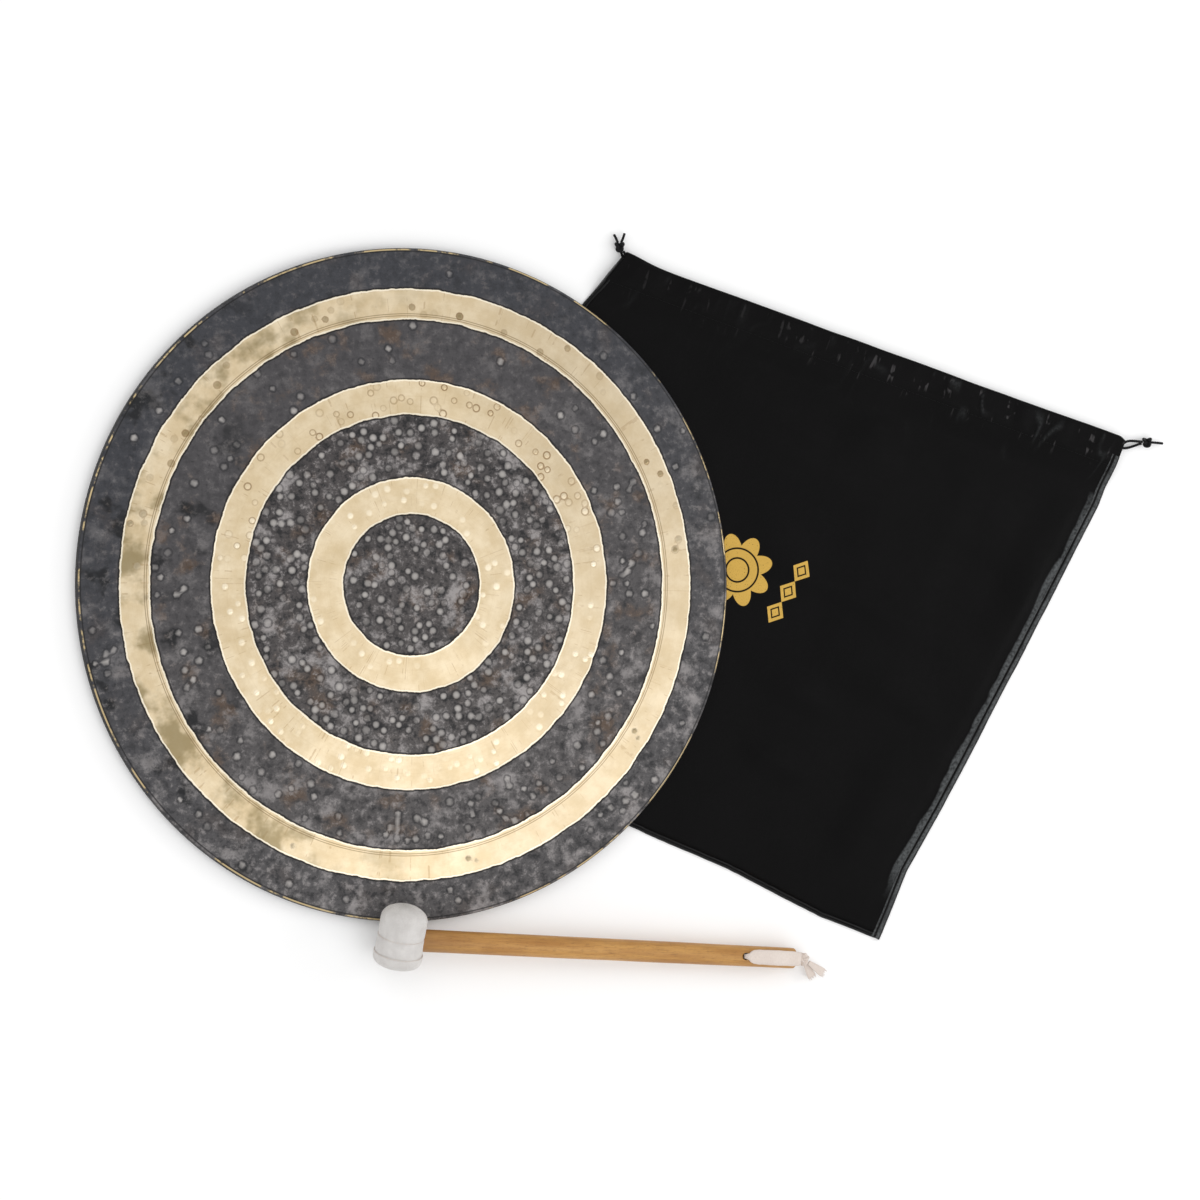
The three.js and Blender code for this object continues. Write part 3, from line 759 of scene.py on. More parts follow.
PATINA_BLUE = shade(58, 59, 64)
PATINA_BROWN = shade(72, 70, 72)
PATINA_MIDDLE = shade(70, 66, 66)
PATINA_LIGHT = shade(100, 96, 94)
PATINA_BLACK = shade(20, 21, 24)
PATINA_DARKEST = shade(16, 17, 20)
PATINA_RUST = shade(92, 70, 50)
PATINA_CHALK = shade(160, 155, 154)
DIMPLE_GREY = shade(160, 156, 153)
DIMPLE_LIP = shade(216, 210, 204)

GONG_PLACE = Matrix.Translation((0.0, 0.0, GONG_LIFT)) @ Matrix.Rotation(-GONG_TILT, 4, "Y")


def face_height(r):
    """The height of the gong's face in its own frame, before any hammering."""
    share = np.clip((r - DOME_FLAT) / (FACE_END - DOME_FLAT), 0.0, 1.0)
    return RIM_DEPTH + DOME * (1.0 - share * share)


def ring_profile():
    """Radius, height, points round and whether it is the front, for each ring from the middle of the face
    over the rim to the middle of the back."""
    rings = []
    for start, stop, step, count in (
        (0.0006, 0.006, 0.0018, RIM_POINTS // 8),
        (0.006, 0.020, 0.0016, RIM_POINTS // 4),
        (0.020, 0.060, 0.0016, RIM_POINTS // 2),
        (0.060, 0.190, 0.0016, RIM_POINTS),
        (0.190, 0.238, 0.0040, RIM_POINTS),
        (0.238, 0.270, 0.0023, RIM_POINTS),
        (0.270, FACE_END, 0.0040, RIM_POINTS),
    ):
        for r in np.arange(start, stop, step):
            rings.append((r, float(face_height(r)), count, 1.0))
    middle = RIM_DEPTH - CORNER_RADIUS
    for angle in np.radians(np.linspace(84.0, 0.0, 7)):
        r = FACE_END + CORNER_RADIUS * math.cos(angle)
        rings.append((r, middle + CORNER_RADIUS * math.sin(angle), RIM_POINTS, 1.0))
    inside = GONG_RADIUS - SHEET
    for r, z in (
        (GONG_RADIUS, 0.0050),
        (GONG_RADIUS, 0.0028),
        (GONG_RADIUS, 0.0008),
        (GONG_RADIUS - 0.0003, 0.0002),
        (GONG_RADIUS - 0.0009, 0.0),
        (inside + 0.0003, 0.0002),
        (inside, 0.0008),
    ):
        rings.append((r, z, RIM_POINTS, 0.0))
    for r, z in ((inside, 0.0045), (inside, 0.0068), (inside - 0.0005, 0.0078), (inside - 0.0013, 0.0082)):
        rings.append((r, z, RIM_POINTS // 2, 0.0))
    back = [(r, RIM_POINTS // 2) for r in np.linspace(0.295, 0.012, 22)]
    back += [(0.006, RIM_POINTS // 4), (0.002, RIM_POINTS // 8)]
    for r, count in back:
        rings.append((r, float(face_height(r)) - SHEET, count, 0.0))
    return rings


def disc_faces(counts):
    """Faces between rings of points; each ring has as many points as the last, or twice or half as many."""
    faces = [tuple(range(counts[0]))]
    start = 0
    for here, there in zip(counts, counts[1:]):
        after = start + here
        if here == there:
            for j in range(here):
                k = (j + 1) % here
                faces.append((start + j, start + k, after + k, after + j))
        else:
            few, few_start, many, many_start = here, start, there, after
            if there < here:
                few, few_start, many, many_start = there, after, here, start
            for j in range(few):
                k = few_start + (j + 1) % few
                first = many_start + 2 * j
                second = first + 1
                third = many_start + (2 * j + 2) % many
                faces.append((few_start + j, first, second))
                faces.append((few_start + j, second, k))
                faces.append((k, second, third))
        start = after
    faces.append(tuple(range(start, start + counts[-1])))
    return faces


def dimple_centres():
    """Where the hammer struck: (x, y, radius, tone), no two closer than their marks allow."""
    draws = np.random.default_rng(21)
    apart = 0.0066
    # from radius, to radius, how many, and the share kept of those at the gong's top and at its bottom
    zones = (
        (0.004, 0.061, 100, 1.0, 1.0),
        (0.067, 0.094, 60, 0.5, 0.6),
        (0.100, 0.151, 420, 1.0, 1.0),
        (0.156, 0.183, 210, 1.0, 0.8),
        (0.190, 0.237, 240, 0.22, 1.0),
        (0.243, 0.265, 80, 1.0, 0.10),
        (0.274, 0.298, 60, 0.2, 0.8),
    )
    placed = []
    for inner, outer, count, top, bottom in zones:
        for _ in range(count):
            r = math.sqrt(draws.uniform(inner**2, outer**2))
            angle = draws.uniform(0.0, 2 * math.pi)
            x = r * math.cos(angle)
            y = r * math.sin(angle)
            keep = bottom + (top - bottom) * (0.5 + 0.5 * math.sin(angle))
            size = draws.uniform(0.0027, 0.0036)
            tone = draws.uniform(0.0, 1.0)
            luck = draws.uniform()
            clear = all((x - a) ** 2 + (y - b) ** 2 > apart**2 for a, b, _, _ in placed)
            if luck < keep and clear:
                placed.append((x, y, size, tone))
    return placed


def relief(x, y, r, dimples):
    """The hammered face's height above its smooth shape, with each point's distance from its nearest dimple
    in dimple radii, and that dimple's tone."""
    tree = kdtree.KDTree(len(dimples))
    for i, (a, b, _, _) in enumerate(dimples):
        tree.insert((a, b, 0.0), i)
    tree.balance()
    away = np.zeros(len(x))
    tone = np.zeros(len(x))
    for i in range(len(x)):
        _, nearest, distance = tree.find((x[i], y[i], 0.0))
        away[i] = min(distance / dimples[nearest][2], 3.0)
        tone[i] = dimples[nearest][3]
    bowl = np.where(away < 1.0, (1.0 - away**2) ** 2, 0.0)
    lip = np.exp(-(((away - 1.15) / 0.2) ** 2))
    waves = 0.00030 * noise(x, y, 0.042, 1) + 0.00016 * noise(x, y, 0.019, 2)
    turned = np.zeros(len(x))
    for inner, outer in BRASS_RINGS:
        beyond = smooth_step(r, outer - 0.001, outer + 0.001)
        turned += smooth_step(r, inner - 0.001, inner + 0.001) * (1.0 - beyond)
    height = waves * (1.0 - 0.6 * turned) - 0.00022 * turned
    height += (0.00010 * lip - 0.00042 * bowl) * (0.5 + 0.5 * tone)
    return height * (1.0 - smooth_step(r, 0.294, 0.301)), away, tone


def bronze_finish():
    """Dark patina with three turned rings of bare brass. x, y and r are places on the gong's flat plan; away
    and tone are the distance from the nearest dimple, in its radii, and how strongly it shows."""
    finish = Finish("hammered_bronze", Specular_IOR_Level=0.3)
    plan = finish.plan()
    x, y, _ = finish.parts(plan)
    front = finish.attribute("front")
    away = finish.attribute("dimple_away")
    tone = finish.attribute("dimple_tone")
    r = finish.math("SQRT", x * x + y * y)
    cloud = finish.noise(plan, 36.0, 6.0, 0.68)
    mottle = finish.noise(plan, 120.0, 4.0, 0.7)
    speck = finish.noise(plan, 330.0, 4.0, 0.6)
    mark = 1.0 - finish.step(away, 0.55, 1.15)
    dome = 1.0 - finish.step(away, 0.1, 1.1)

    # the turned rings, with a hand-cut edge; depth is how far inside one a place is
    wave = (finish.noise(plan, 55.0, 2.0) - 0.5) * 0.0036
    nick = (finish.noise(plan, 300.0, 3.0) - 0.5) * 0.0012
    cut = r + wave + nick
    depth = -1.0
    for inner, outer in BRASS_RINGS:
        inside = (outer - inner) / 2 - abs(cut - (inner + outer) / 2)
        depth = finish.math("MAXIMUM", depth, inside)
    brass = finish.step(depth, -0.0001, 0.0002) * front
    # painted highlight: a near-white line just inside each brass ring's edge
    ring_edge_highlight = finish.line(depth, 0.0008, 0.0009) * front
    dark_edge = finish.line(depth, -0.0008, 0.0010) * front

    # patina: charcoal outside, browner in the middle, chalky where the hammer rubbed it; painted lighter
    # towards the bottom right and painted darker on the left, for light from the bottom right
    outermost = finish.step(r, 0.262, 0.272)
    within = 1.0 - finish.step(r, 0.152, 0.158)
    # painted light: below makes the patina paler towards the bottom right
    below = finish.step(x * 0.35 - y, -0.22, 0.34)
    busy = finish.math("MAXIMUM", within, below * 0.75)
    shadow = finish.step(mottle, 0.50, 0.36) * (0.3 + busy * 0.5)
    gaps = finish.patches(plan, 52.0, 0.52, 0.66, 5.0, 0.7) * (0.3 + busy * 0.4)
    # painted shade: darker blots over the gong's left side
    left_shade_blots = finish.step(x, -0.10, -0.22) * finish.patches(plan, 26.0, 0.54, 0.62, 3.0)
    rust = finish.patches(plan, 30.0, 0.52, 0.66, 5.0, 0.65) * (0.62 - outermost * 0.5)
    chalk = finish.step(cloud, 0.50, 0.66) * (0.16 + busy * 0.70)
    pale_mottle = finish.step(mottle, 0.52, 0.68) * (0.16 + busy * 0.55)
    patina = finish.layers(
        PATINA_BROWN,
        (outermost, PATINA_BLUE),
        (within, PATINA_MIDDLE),
        (below * 0.5, PATINA_LIGHT),
        (shadow, PATINA_BLACK),
        (gaps, PATINA_BLACK),
        (left_shade_blots * 0.85, PATINA_DARKEST),
        (rust, PATINA_RUST),
        (chalk, PATINA_CHALK),
        (pale_mottle, PATINA_CHALK),
        (finish.step(speck, 0.56, 0.72) * 0.45, PATINA_BLACK),
        (mark * (0.20 + tone * 0.6), DIMPLE_GREY),
        (dome * tone * 0.35, DIMPLE_LIP),
        (finish.line(away, 1.25, 0.30) * 0.45, PATINA_BLACK),
    )

    # brass: pale, with turning lines, radial ticks and brown outlines round the dimples, and with painted
    # highlights and painted shade
    radial = finish.first("CombineXYZ", r, 0.0, 0.0)
    spoke = finish.first("VectorMath", plan, operation="NORMALIZE")
    lathe = finish.patches(radial, 900.0, 0.5, 0.75, 3.0, 0.7)
    ticks = finish.patches(spoke, 75.0, 0.58, 0.64, 2.0, 0.6) * finish.patches(plan, 85.0, 0.50, 0.58, 2.0)
    # smudges all over the brass, with far more on the outer ring's left, a painted darker reflection
    outer_left_shade = finish.step(r, 0.20, 0.24) * finish.step(x, 0.06, -0.16)
    smudge_and_shade = finish.patches(plan, 24.0, 0.45, 0.62) * (0.10 + outer_left_shade)
    beyond_first = finish.step(r, 0.10, 0.12)
    outline = finish.line(away, 0.95, 0.28) * tone * finish.step(y, -0.02, 0.08) * beyond_first
    above = finish.step(y, 0.02, 0.12) * beyond_first
    # painted shade: the brass darker towards the gong's right
    right_side_shade = finish.step(x, 0.02, 0.15)
    # painted highlight: near-white glints in the dimples, left off the upper part
    dimple_glints = mark * (1.0 - above) * tone
    outer_dots = mark * finish.step(r, 0.236, 0.242) * tone
    grooves = [finish.line(r + wave * 0.1, place, 0.0006) for place in GROOVES]
    brass_colour = finish.layers(
        shade(218, 197, 160),
        (finish.step(cloud, 0.35, 0.7), shade(236, 219, 188)),
        (lathe * 0.30, shade(188, 160, 116)),
        (ticks * 0.40, shade(166, 134, 92)),
        (smudge_and_shade * 0.72, shade(138, 122, 84)),
        (right_side_shade * 0.28, shade(172, 158, 136)),
        (outline * 0.75, shade(132, 100, 62)),
        (dimple_glints * 0.75, shade(255, 244, 220)),
        (outer_dots * 0.85, shade(124, 104, 62)),
        *[(groove * 0.6, shade(120, 96, 62)) for groove in grooves],
        (ring_edge_highlight * 0.8, shade(255, 246, 226)),
    )

    # the two together, with the rim worn bare in places between two dark lines
    pale_coat = finish.line(r, 0.3036, 0.0009) * front * finish.patches(plan, 22.0, 0.48, 0.54, 5.0, 0.65)
    inner_line = finish.line(r, 0.3022, 0.0009) * front
    rim = finish.step(r, 0.3042, 0.3049)
    finish.set("Base_Color", finish.layers(
        patina,
        (brass, brass_colour),
        (dark_edge * 0.85, shade(16, 14, 14)),
        (pale_coat, shade(206, 184, 140)),
        (inner_line * 0.75, shade(20, 19, 20)),
        (rim * 0.8, shade(24, 23, 23)),
    ))
    metal = finish.math("MAXIMUM", brass, pale_coat)
    finish.set("Metallic", 0.05 + metal * 0.85)
    finish.set("Roughness", 0.50 + mottle * 0.2 - metal * 0.24)
    finish.bump(lathe * brass, 0.00004, 0.7)
    finish.bump(dome * (0.3 + tone), 0.0005, 0.7)
    finish.bump((cloud + mottle * 0.6 + speck * 0.3) * (1.0 - brass), 0.0005, 0.6)
    return finish


def make_gong():
    rings = ring_profile()
    x, y, z, radius, front = [], [], [], [], []
    for r, height, count, is_front in rings:
        angle = np.arange(count) / count * 2 * np.pi
        x.append(r * np.cos(angle))
        y.append(r * np.sin(angle))
        z.append(np.full(count, height))
        radius.append(np.full(count, r))
        front.append(np.full(count, is_front))
    x, y, z, radius, front = (np.concatenate(values) for values in (x, y, z, radius, front))
    height, away, tone = relief(x, y, radius, dimple_centres())
    z = z + np.where((front > 0) | (radius < FACE_END - 0.006), height, 0.0)
    points = np.stack([x, y, z], axis=1)
    rotation = np.array(GONG_PLACE.to_3x3())
    points = points @ rotation.T + np.array(GONG_PLACE.translation)

    faces = disc_faces([count for _, _, count, _ in rings])
    corners = np.concatenate([np.asarray(face) for face in faces])
    gong = make_mesh("gong", points, faces, np.stack([x, y], axis=1)[corners], bronze_finish())
    for name, values in (("front", front), ("dimple_away", away), ("dimple_tone", tone)):
        layer = gong.data.attributes.new(name, "FLOAT", "POINT")
        layer.data.foreach_set("value", values.astype(np.float32))

    for degrees in CORD_HOLE_DEGREES:
        angle = math.radians(degrees)
        out = Vector((math.cos(angle), math.sin(angle), 0.0))
        place = out * (GONG_RADIUS - 0.001) + Vector((0.0, 0.0, CORD_HOLE_Z))
        drill_hole(gong, place, out, CORD_HOLE_RADIUS, depth=0.02, sides=24, carried=GONG_PLACE)
    declare(gong, "gong", "gong_bronze", "gong_disc")


make_gong()

# ---------------------------------------------------------------- beater

HEAD_HALF = 0.0275


def placed(local, origin, axis, reference):
    """Points given along reference, across both, and along axis, from origin."""
    axes = np.array([reference, axis.cross(reference), axis])
    return local @ axes + np.array(origin)


def turned_grid(profile, sides, origin, axis, reference, bulge):
    """Points turned round an axis from (distance along, radius), with uv distance along and round. bulge
    gives how much further out each place stands."""
    profile = np.asarray(profile)
    angle = np.linspace(0.0, 2 * np.pi, sides + 1)
    along, round_it = np.meshgrid(profile[:, 0], angle, indexing="ij")
    radius = profile[:, 1][:, None] + bulge(along, round_it)
    local = np.stack([radius * np.cos(round_it), radius * np.sin(round_it), along], axis=-1)
    grid = placed(local, origin, axis, reference)
    return grid[:, :-1], pairs(lengths_along(profile), angle * profile[:, 1].max())


def inflate(obj, held, pressure, cap):
    """Blows a closed mesh out as cloth with its held points sewn down, moving no point further than cap."""
    rest = np.array([v.co for v in obj.data.vertices])
    group = obj.vertex_groups.new(name="sewn")
    group.add(held, 1.0, "REPLACE")
    cloth = obj.modifiers.new("cloth", "CLOTH")
    cloth.settings.vertex_group_mass = "sewn"
    cloth.settings.use_pressure = True
    cloth.settings.uniform_pressure_force = pressure
    cloth.settings.effector_weights.gravity = 0.0
    cloth.settings.tension_stiffness = 8.0
    cloth.settings.bending_stiffness = 0.2
    settle_frames = 20
    for number in range(1, settle_frames + 1):
        bpy.context.scene.frame_set(number)
    shown = obj.evaluated_get(bpy.context.evaluated_depsgraph_get())
    moved = np.array([v.co for v in shown.data.vertices])
    obj.modifiers.clear()
    obj.vertex_groups.clear()
    bpy.context.scene.frame_set(1)
    shift = moved - rest
    far = np.linalg.norm(shift, axis=1)[:, None]
    shift *= np.minimum(1.0, cap / np.maximum(far, 1e-9))
    obj.data.vertices.foreach_set("co", (rest + shift).ravel())
    obj.data.update()


def arc(centre, radius, start, stop, count):
    """Profile points (along, radius) on an arc; angles in degrees from straight out."""
    return [(centre[0] + radius * math.sin(math.radians(a)), centre[1] + radius * math.cos(math.radians(a)))
            for a in np.linspace(start, stop, count)]


HEM_TOP = -0.0155  # where the head's cover is hemmed and where it is wrapped, along the head from its middle
WRAP_LINE = 0.0005


def make_cover():
    """The head's cloth, a thin bag over the felt, sewn down along two lines."""
    sides = 120
    profile = [(-HEAD_HALF, 0.0008), (-HEAD_HALF, 0.006), (-HEAD_HALF + 0.0003, 0.011)]
    profile += arc((-HEAD_HALF + 0.0082, 0.0144), 0.0081, -78.0, 0.0, 9)
    profile += [(z, 0.0225) for z in np.linspace(-0.0178, HEM_TOP - 0.0004, 4)]
    profile += [(HEM_TOP, 0.0221), (HEM_TOP + 0.0006, 0.0213)]
    profile += [(z, 0.0215) for z in np.linspace(HEM_TOP + 0.0016, WRAP_LINE - 0.0012, 10)]
    profile += [(WRAP_LINE - 0.0004, 0.0213), (WRAP_LINE + 0.0003, 0.0209), (WRAP_LINE + 0.0012, 0.0211)]
    profile += [(z, 0.0213) for z in np.linspace(WRAP_LINE + 0.0024, 0.0150, 9)]
    profile += arc((0.0165, 0.0108), 0.0105, 5.0, 64.0, 11)
    profile += [(0.0276, 0.0125), (0.0287, 0.0092), (0.0295, 0.0055), (0.0298, 0.0028), (0.0299, 0.0006)]

    def puckered(along, angle):
        slow = 0.00035 * noise(angle * 0.02, along, 0.014, 41)
        puckers = 0.00016 * noise(angle * 0.022, along, 0.0032, 42)
        near_hem = np.exp(-(((along - HEM_TOP) / 0.004) ** 2))
        return (slow + puckers * (0.4 + near_hem)) * (np.abs(along) < 0.0270)

    grid, uv = turned_grid(profile, sides, HEAD_CENTRE, HEAD_AXIS, HANDLE_ALONG, puckered)
    cover = surface("beater_head", grid, uv, head_cloth, wrap=True, caps=True)
    held = []
    for i, (along, radius) in enumerate(profile):
        if abs(along - HEM_TOP) < 0.0012 or abs(along - WRAP_LINE) < 0.0008 or radius < 0.008:
            held.extend(range(i * sides, (i + 1) * sides))
    inflate(cover, held, pressure=3.0, cap=0.0010)
    declare(cover, "beater", "head_cloth", "beater_head_cover", "beater_head_hem")


def make_cover_stitches():
    stitches = Mesh()
    for place, lift, gap in ((HEM_TOP + 0.0002, 0.0221, 0.0036), (WRAP_LINE + 0.0003, 0.0210, 0.0040)):
        count = round(2 * math.pi * lift / gap)
        for k in range(count):
            angle = np.linspace(0.12, 0.82, 6) * 2 * math.pi / count + k * 2 * math.pi / count
            out = lift + np.sin(np.linspace(0.0, math.pi, 6)) * 0.0002
            local = np.stack([out * np.cos(angle), out * np.sin(angle), np.full(6, place)], axis=1)
            path = placed(local, HEAD_CENTRE, HEAD_AXIS, HANDLE_ALONG)
            stitches.add_tube(path, 0.00028, 0.00028, sides=6)
    declare(stitches.make("beater_head_stitching", cotton_tape), "beater", "head_cloth")


def make_padding():
    profile = [(-0.0255, 0.0009), (-0.0255, 0.0120), (-0.0245, 0.0160), (-0.0200, 0.0195)]
    profile += [(z, 0.0200) for z in np.linspace(-0.018, 0.0140, 22)]
    profile += [(0.0185, 0.0186), (0.0218, 0.0158), (0.0240, 0.0110), (0.0250, 0.0060), (0.0252, 0.0009)]

    def lumps(along, angle):
        return 0.0003 * noise(angle * 0.02, along, 0.004, 51) * (np.abs(along) < 0.02)

    grid, uv = turned_grid(profile, 72, HEAD_CENTRE, HEAD_AXIS, HANDLE_ALONG, lumps)
    padding = surface("beater_head_felt", grid, uv, felt, wrap=True, caps=True)
    declare(padding, "beater", "felt", "beater_head_padding")


def make_handle():
    start = HEAD_CENTRE + HEAD_AXIS * HANDLE_OFFSET
    profile = [(0.0140, 0.0006), (0.0142, 0.0070), (0.0150, 0.0100)]
    for along in np.arange(0.0170, HANDLE_LENGTH - 0.0020, 0.0030):
        profile.append((along, 0.0103 - 0.0008 * along / HANDLE_LENGTH))
    for short, radius in ((0.0014, 0.0094), (0.0006, 0.0090), (0.0001, 0.0082), (0.0, 0.0070), (0.0, 0.0006)):
        profile.append((HANDLE_LENGTH - short, radius))

    def carving(along, angle):
        slow = 0.00012 * noise(angle * 0.01, along, 0.040, 61)
        grain = 0.00004 * noise(angle * 0.0103, along * 0.05, 0.0009, 62)
        return (slow + grain) * (along > 0.016) * (along < HANDLE_LENGTH - 0.002)

    grid, uv = turned_grid(profile, 96, start, HANDLE_ALONG, HANDLE_SIDE, carving)
    handle = surface("beater_handle_wood", grid, uv, golden_wood, wrap=True, caps=True)
    drill_hole(handle, HOLE_PLACE, HANDLE_UP, HOLE_RADIUS, depth=0.04, sides=32)
    declare(handle, "beater", "handle_wood", "beater_handle")


head_cloth = weave_finish("head_cotton", shade(240, 237, 234), shade(192, 187, 183), COTTON_PITCH, 0.00022,
                          blotch=70.0)
felt = felt_finish("pressed_felt", shade(214, 208, 196), shade(170, 162, 148))
golden_wood = wood_finish("golden_wood", shade(202, 152, 82), shade(164, 112, 48), shade(96, 56, 22), 0.09)
core_wood = wood_finish("core_wood", shade(214, 178, 122), shade(184, 142, 86), shade(130, 90, 48), 0.01)

make_cover()
make_cover_stitches()
make_padding()
make_handle()
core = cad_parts["beater_head_core"]
core.data.materials.clear()
core.data.materials.append(core_wood.material)

# ---------------------------------------------------------------- bag

CLOTH = 0.0007
BLACK_DARK = shade(4, 4, 4)
BLACK_LIGHT = shade(11, 10, 11)
BLACK_SHEEN = shade(96, 99, 100)
CREASE_SHEEN = shade(74, 72, 73)
# a paler black, for the threads of the seams and the lining
BLACK_PALER = shade(28, 28, 29)
CLOTH_PITCH = 0.0009  # from thread to thread
PRINT_TURN = math.radians(57.0)
ROSETTE_PLACE = (0.318, 0.014)
LOZENGE_PLACE = (0.367, -0.006)
LOZENGE_LENGTH = 0.0227
HEM_WIDTH = 0.030
BACK_HEM_TOP = 0.0042
FRONT_HEM_BOTTOM = 0.0045
FRONT_HEM_TOP = 0.0087
CLOTH_END = 0.0007  # the hems' cloth reaches this near the bag's corners
SKIRT_END = 0.059  # where the front hem's skirt has come down to the panel
FRONT_PANEL_Z = 0.00135
SEAM_GAP = 0.0046  # the panels' cloth ends this far in from the left and bottom edges, under the seams
RIGHT_SEAM_GAP = 0.0086
SEAM_STEP = 0.0022  # between the seams' rows of points
SEAM_CLIMB = 0.0066  # how much higher a seam lies where it is over the hem's end
SEAM_HEIGHT = 0.0017
RIGHT_SEAM_HEIGHT = 0.0024
STITCH_SHARE = 0.38  # of a seam's height, where its stitches lie
FINE_SHARE = 0.040  # of the bag's width, beside the right seam, where the cloth's columns are closer together
# rows of points round a hem: up its tucked-in side, round the mouth, and down its outer side
TUCKED_ROWS = 10
MOUTH_ROWS = 7
OUTER_ROWS = 12
STITCHED_ROW = TUCKED_ROWS + MOUTH_ROWS + OUTER_ROWS + 1  # of the front's: where its hem ends


class Edge:
    """One side of the bag. turn is 1 where the bag lies to the left of someone going along it, else -1, and
    its stations, (share of the length, metres out), say how it bows."""

    def __init__(self, start, end, turn, stations):
        self.start = start
        self.length = length_of(end - start)
        self.run = (end - start) / self.length
        self.inward = turn * np.array([-self.run[1], self.run[0]])
        self.stations = stations

    def bow(self, share):
        return np.interp(share, [at for at, _ in self.stations], [out for _, out in self.stations])

    def place(self, at, inwards):
        """Flat places at distances along the edge and in from it."""
        from_straight = inwards - self.bow(at / self.length)
        return self.start + self.run * at[:, None] + self.inward * from_straight[:, None]


LEFT_EDGE = Edge(MOUTH_LEFT, BOTTOM_LEFT, 1.0, [(0.0, 0.0), (1.0, 0.0)])
RIGHT_EDGE = Edge(MOUTH_RIGHT, BOTTOM_RIGHT, -1.0, [
    (0.0, 0.0020),
    (0.13, 0.0080),
    (0.45, 0.0045),
    (0.74, -0.0004),
    (0.87, -0.0046),
    (0.95, -0.0012),
    (1.0, 0.0),
])
BOTTOM_EDGE = Edge(BOTTOM_LEFT, BOTTOM_RIGHT, 1.0, [
    (0.0, 0.0),
    (0.60, 0.0014),
    (0.74, -0.0008),
    (0.90, 0.0034),
    (1.0, 0.0),
])


def top_and_bottom(across):
    """The places on the mouth and on the bottom edge at a share of their lengths."""
    top = MOUTH_LEFT + (MOUTH_RIGHT - MOUTH_LEFT) * across
    bottom = BOTTOM_LEFT + (BOTTOM_RIGHT - BOTTOM_LEFT) * across
    return top, bottom


def bag_place(across, below):
    """Flat places: across from 0 to 1 along the mouth and the bottom, below in metres under the mouth."""
    across = np.asarray(across)[..., None]
    top, bottom = top_and_bottom(across)
    depth = np.linalg.norm(bottom - top, axis=-1, keepdims=True)
    down = np.asarray(below)[..., None] / depth
    out_right = RIGHT_EDGE.bow(down) * smooth_step(across, 0.60, 1.0)
    out_below = BOTTOM_EDGE.bow(across) * smooth_step(down, 0.70, 1.0)
    return top + (bottom - top) * down - RIGHT_EDGE.inward * out_right - BOTTOM_EDGE.inward * out_below


def bag_depth(across):
    top, bottom = top_and_bottom(across)
    return length_of(bottom - top)


def gold_print(finish):
    """A printed eight-petalled rosette and a row of three lozenges: 1 where the print is."""
    plan = finish.plan()
    u, v, _ = finish.parts(plan)

    def turned(place, turn):
        dx = u - place[0]
        dy = v - place[1]
        cosine = math.cos(turn)
        sine = math.sin(turn)
        return dx * cosine + dy * sine, dy * cosine - dx * sine

    def inside(distance, edge):
        return finish.step(edge - distance, 0.0, 0.0004)

    dx, dy = turned(ROSETTE_PLACE, PRINT_TURN)
    radius = finish.math("SQRT", dx * dx + dy * dy)
    wave = abs(finish.math("COSINE", finish.math("ARCTAN2", dy, dx) * 4.0))
    petals = inside(radius, 0.023 + wave * 0.011)
    for ring in (0.0200, 0.0110):
        petals = petals * (1.0 - finish.line(radius, ring, 0.0012))

    along, across = turned(LOZENGE_PLACE, PRINT_TURN)
    cell = abs(finish.math("WRAP", along, LOZENGE_LENGTH / 2, -LOZENGE_LENGTH / 2))
    slant = cell * (1.86 / LOZENGE_LENGTH) + abs(across) * 100.0
    in_row = inside(abs(along), LOZENGE_LENGTH * 1.5)
    lozenges = finish.step(slant, 0.96, 0.92) * in_row
    lozenges = lozenges * (1.0 - finish.line(slant, 0.48, 0.12))
    gaps = finish.patches(plan, 900.0, 0.25, 0.4, 3.0)
    return finish.math("MAXIMUM", petals, lozenges) * gaps


def hem_creases(finish):
    """Thin creases across the hem and a little below it, more of them towards the right: 1 on a crease."""
    plan = finish.plan()
    u, v, _ = finish.parts(plan)
    along = u * ALONG_MOUTH[0] + v * ALONG_MOUTH[1]
    out = u * OUT_OF_MOUTH[0] + v * OUT_OF_MOUTH[1]
    below = float(MOUTH_LEFT @ OUT_OF_MOUTH) - out
    place = finish.first("CombineXYZ", along, below * 0.16, 0.0)
    thin = finish.patches(place, 210.0, 0.58, 0.68, 1.0)
    here = finish.patches(plan, 85.0, 0.48, 0.58, 2.0)
    in_hem = finish.step(below, 0.004, 0.009) * finish.step(below, 0.042, 0.024)
    start = float(MOUTH_LEFT @ ALONG_MOUTH)
    rightwards = 0.25 + finish.step(along, start + 0.10, start + 0.32) * 0.75
    return thin * here * in_hem * rightwards


def bag_finish():
    finish = weave_finish("black_bag_cloth", BLACK_LIGHT, BLACK_DARK, CLOTH_PITCH, 0.00008,
                          roughness=0.40, sheen=0.0, blotch=18.0)
    printed = gold_print(finish)
    creases = hem_creases(finish)
    mottle = finish.patches(finish.plan(), 360.0, 0.32, 0.64, roughness=0.7)
    # painted sheen: the cloth lighter where the folds and the ridge by the right seam stand up
    pale_coat = finish.attribute("painted_sheen") * (0.30 + mottle * 0.80)
    finish.set("Base_Color", finish.layers(
        finish.linked("Base_Color"),
        # painted sheen: the creases a lighter grey than the cloth
        (creases * 0.6, CREASE_SHEEN),
        (pale_coat, BLACK_SHEEN),
        (printed, shade(200, 162, 80)),
    ))
    finish.bump(creases, 0.0006)
    finish.set("Metallic", printed * 0.45)
    finish.set("Specular_IOR_Level", 0.06)
    return finish


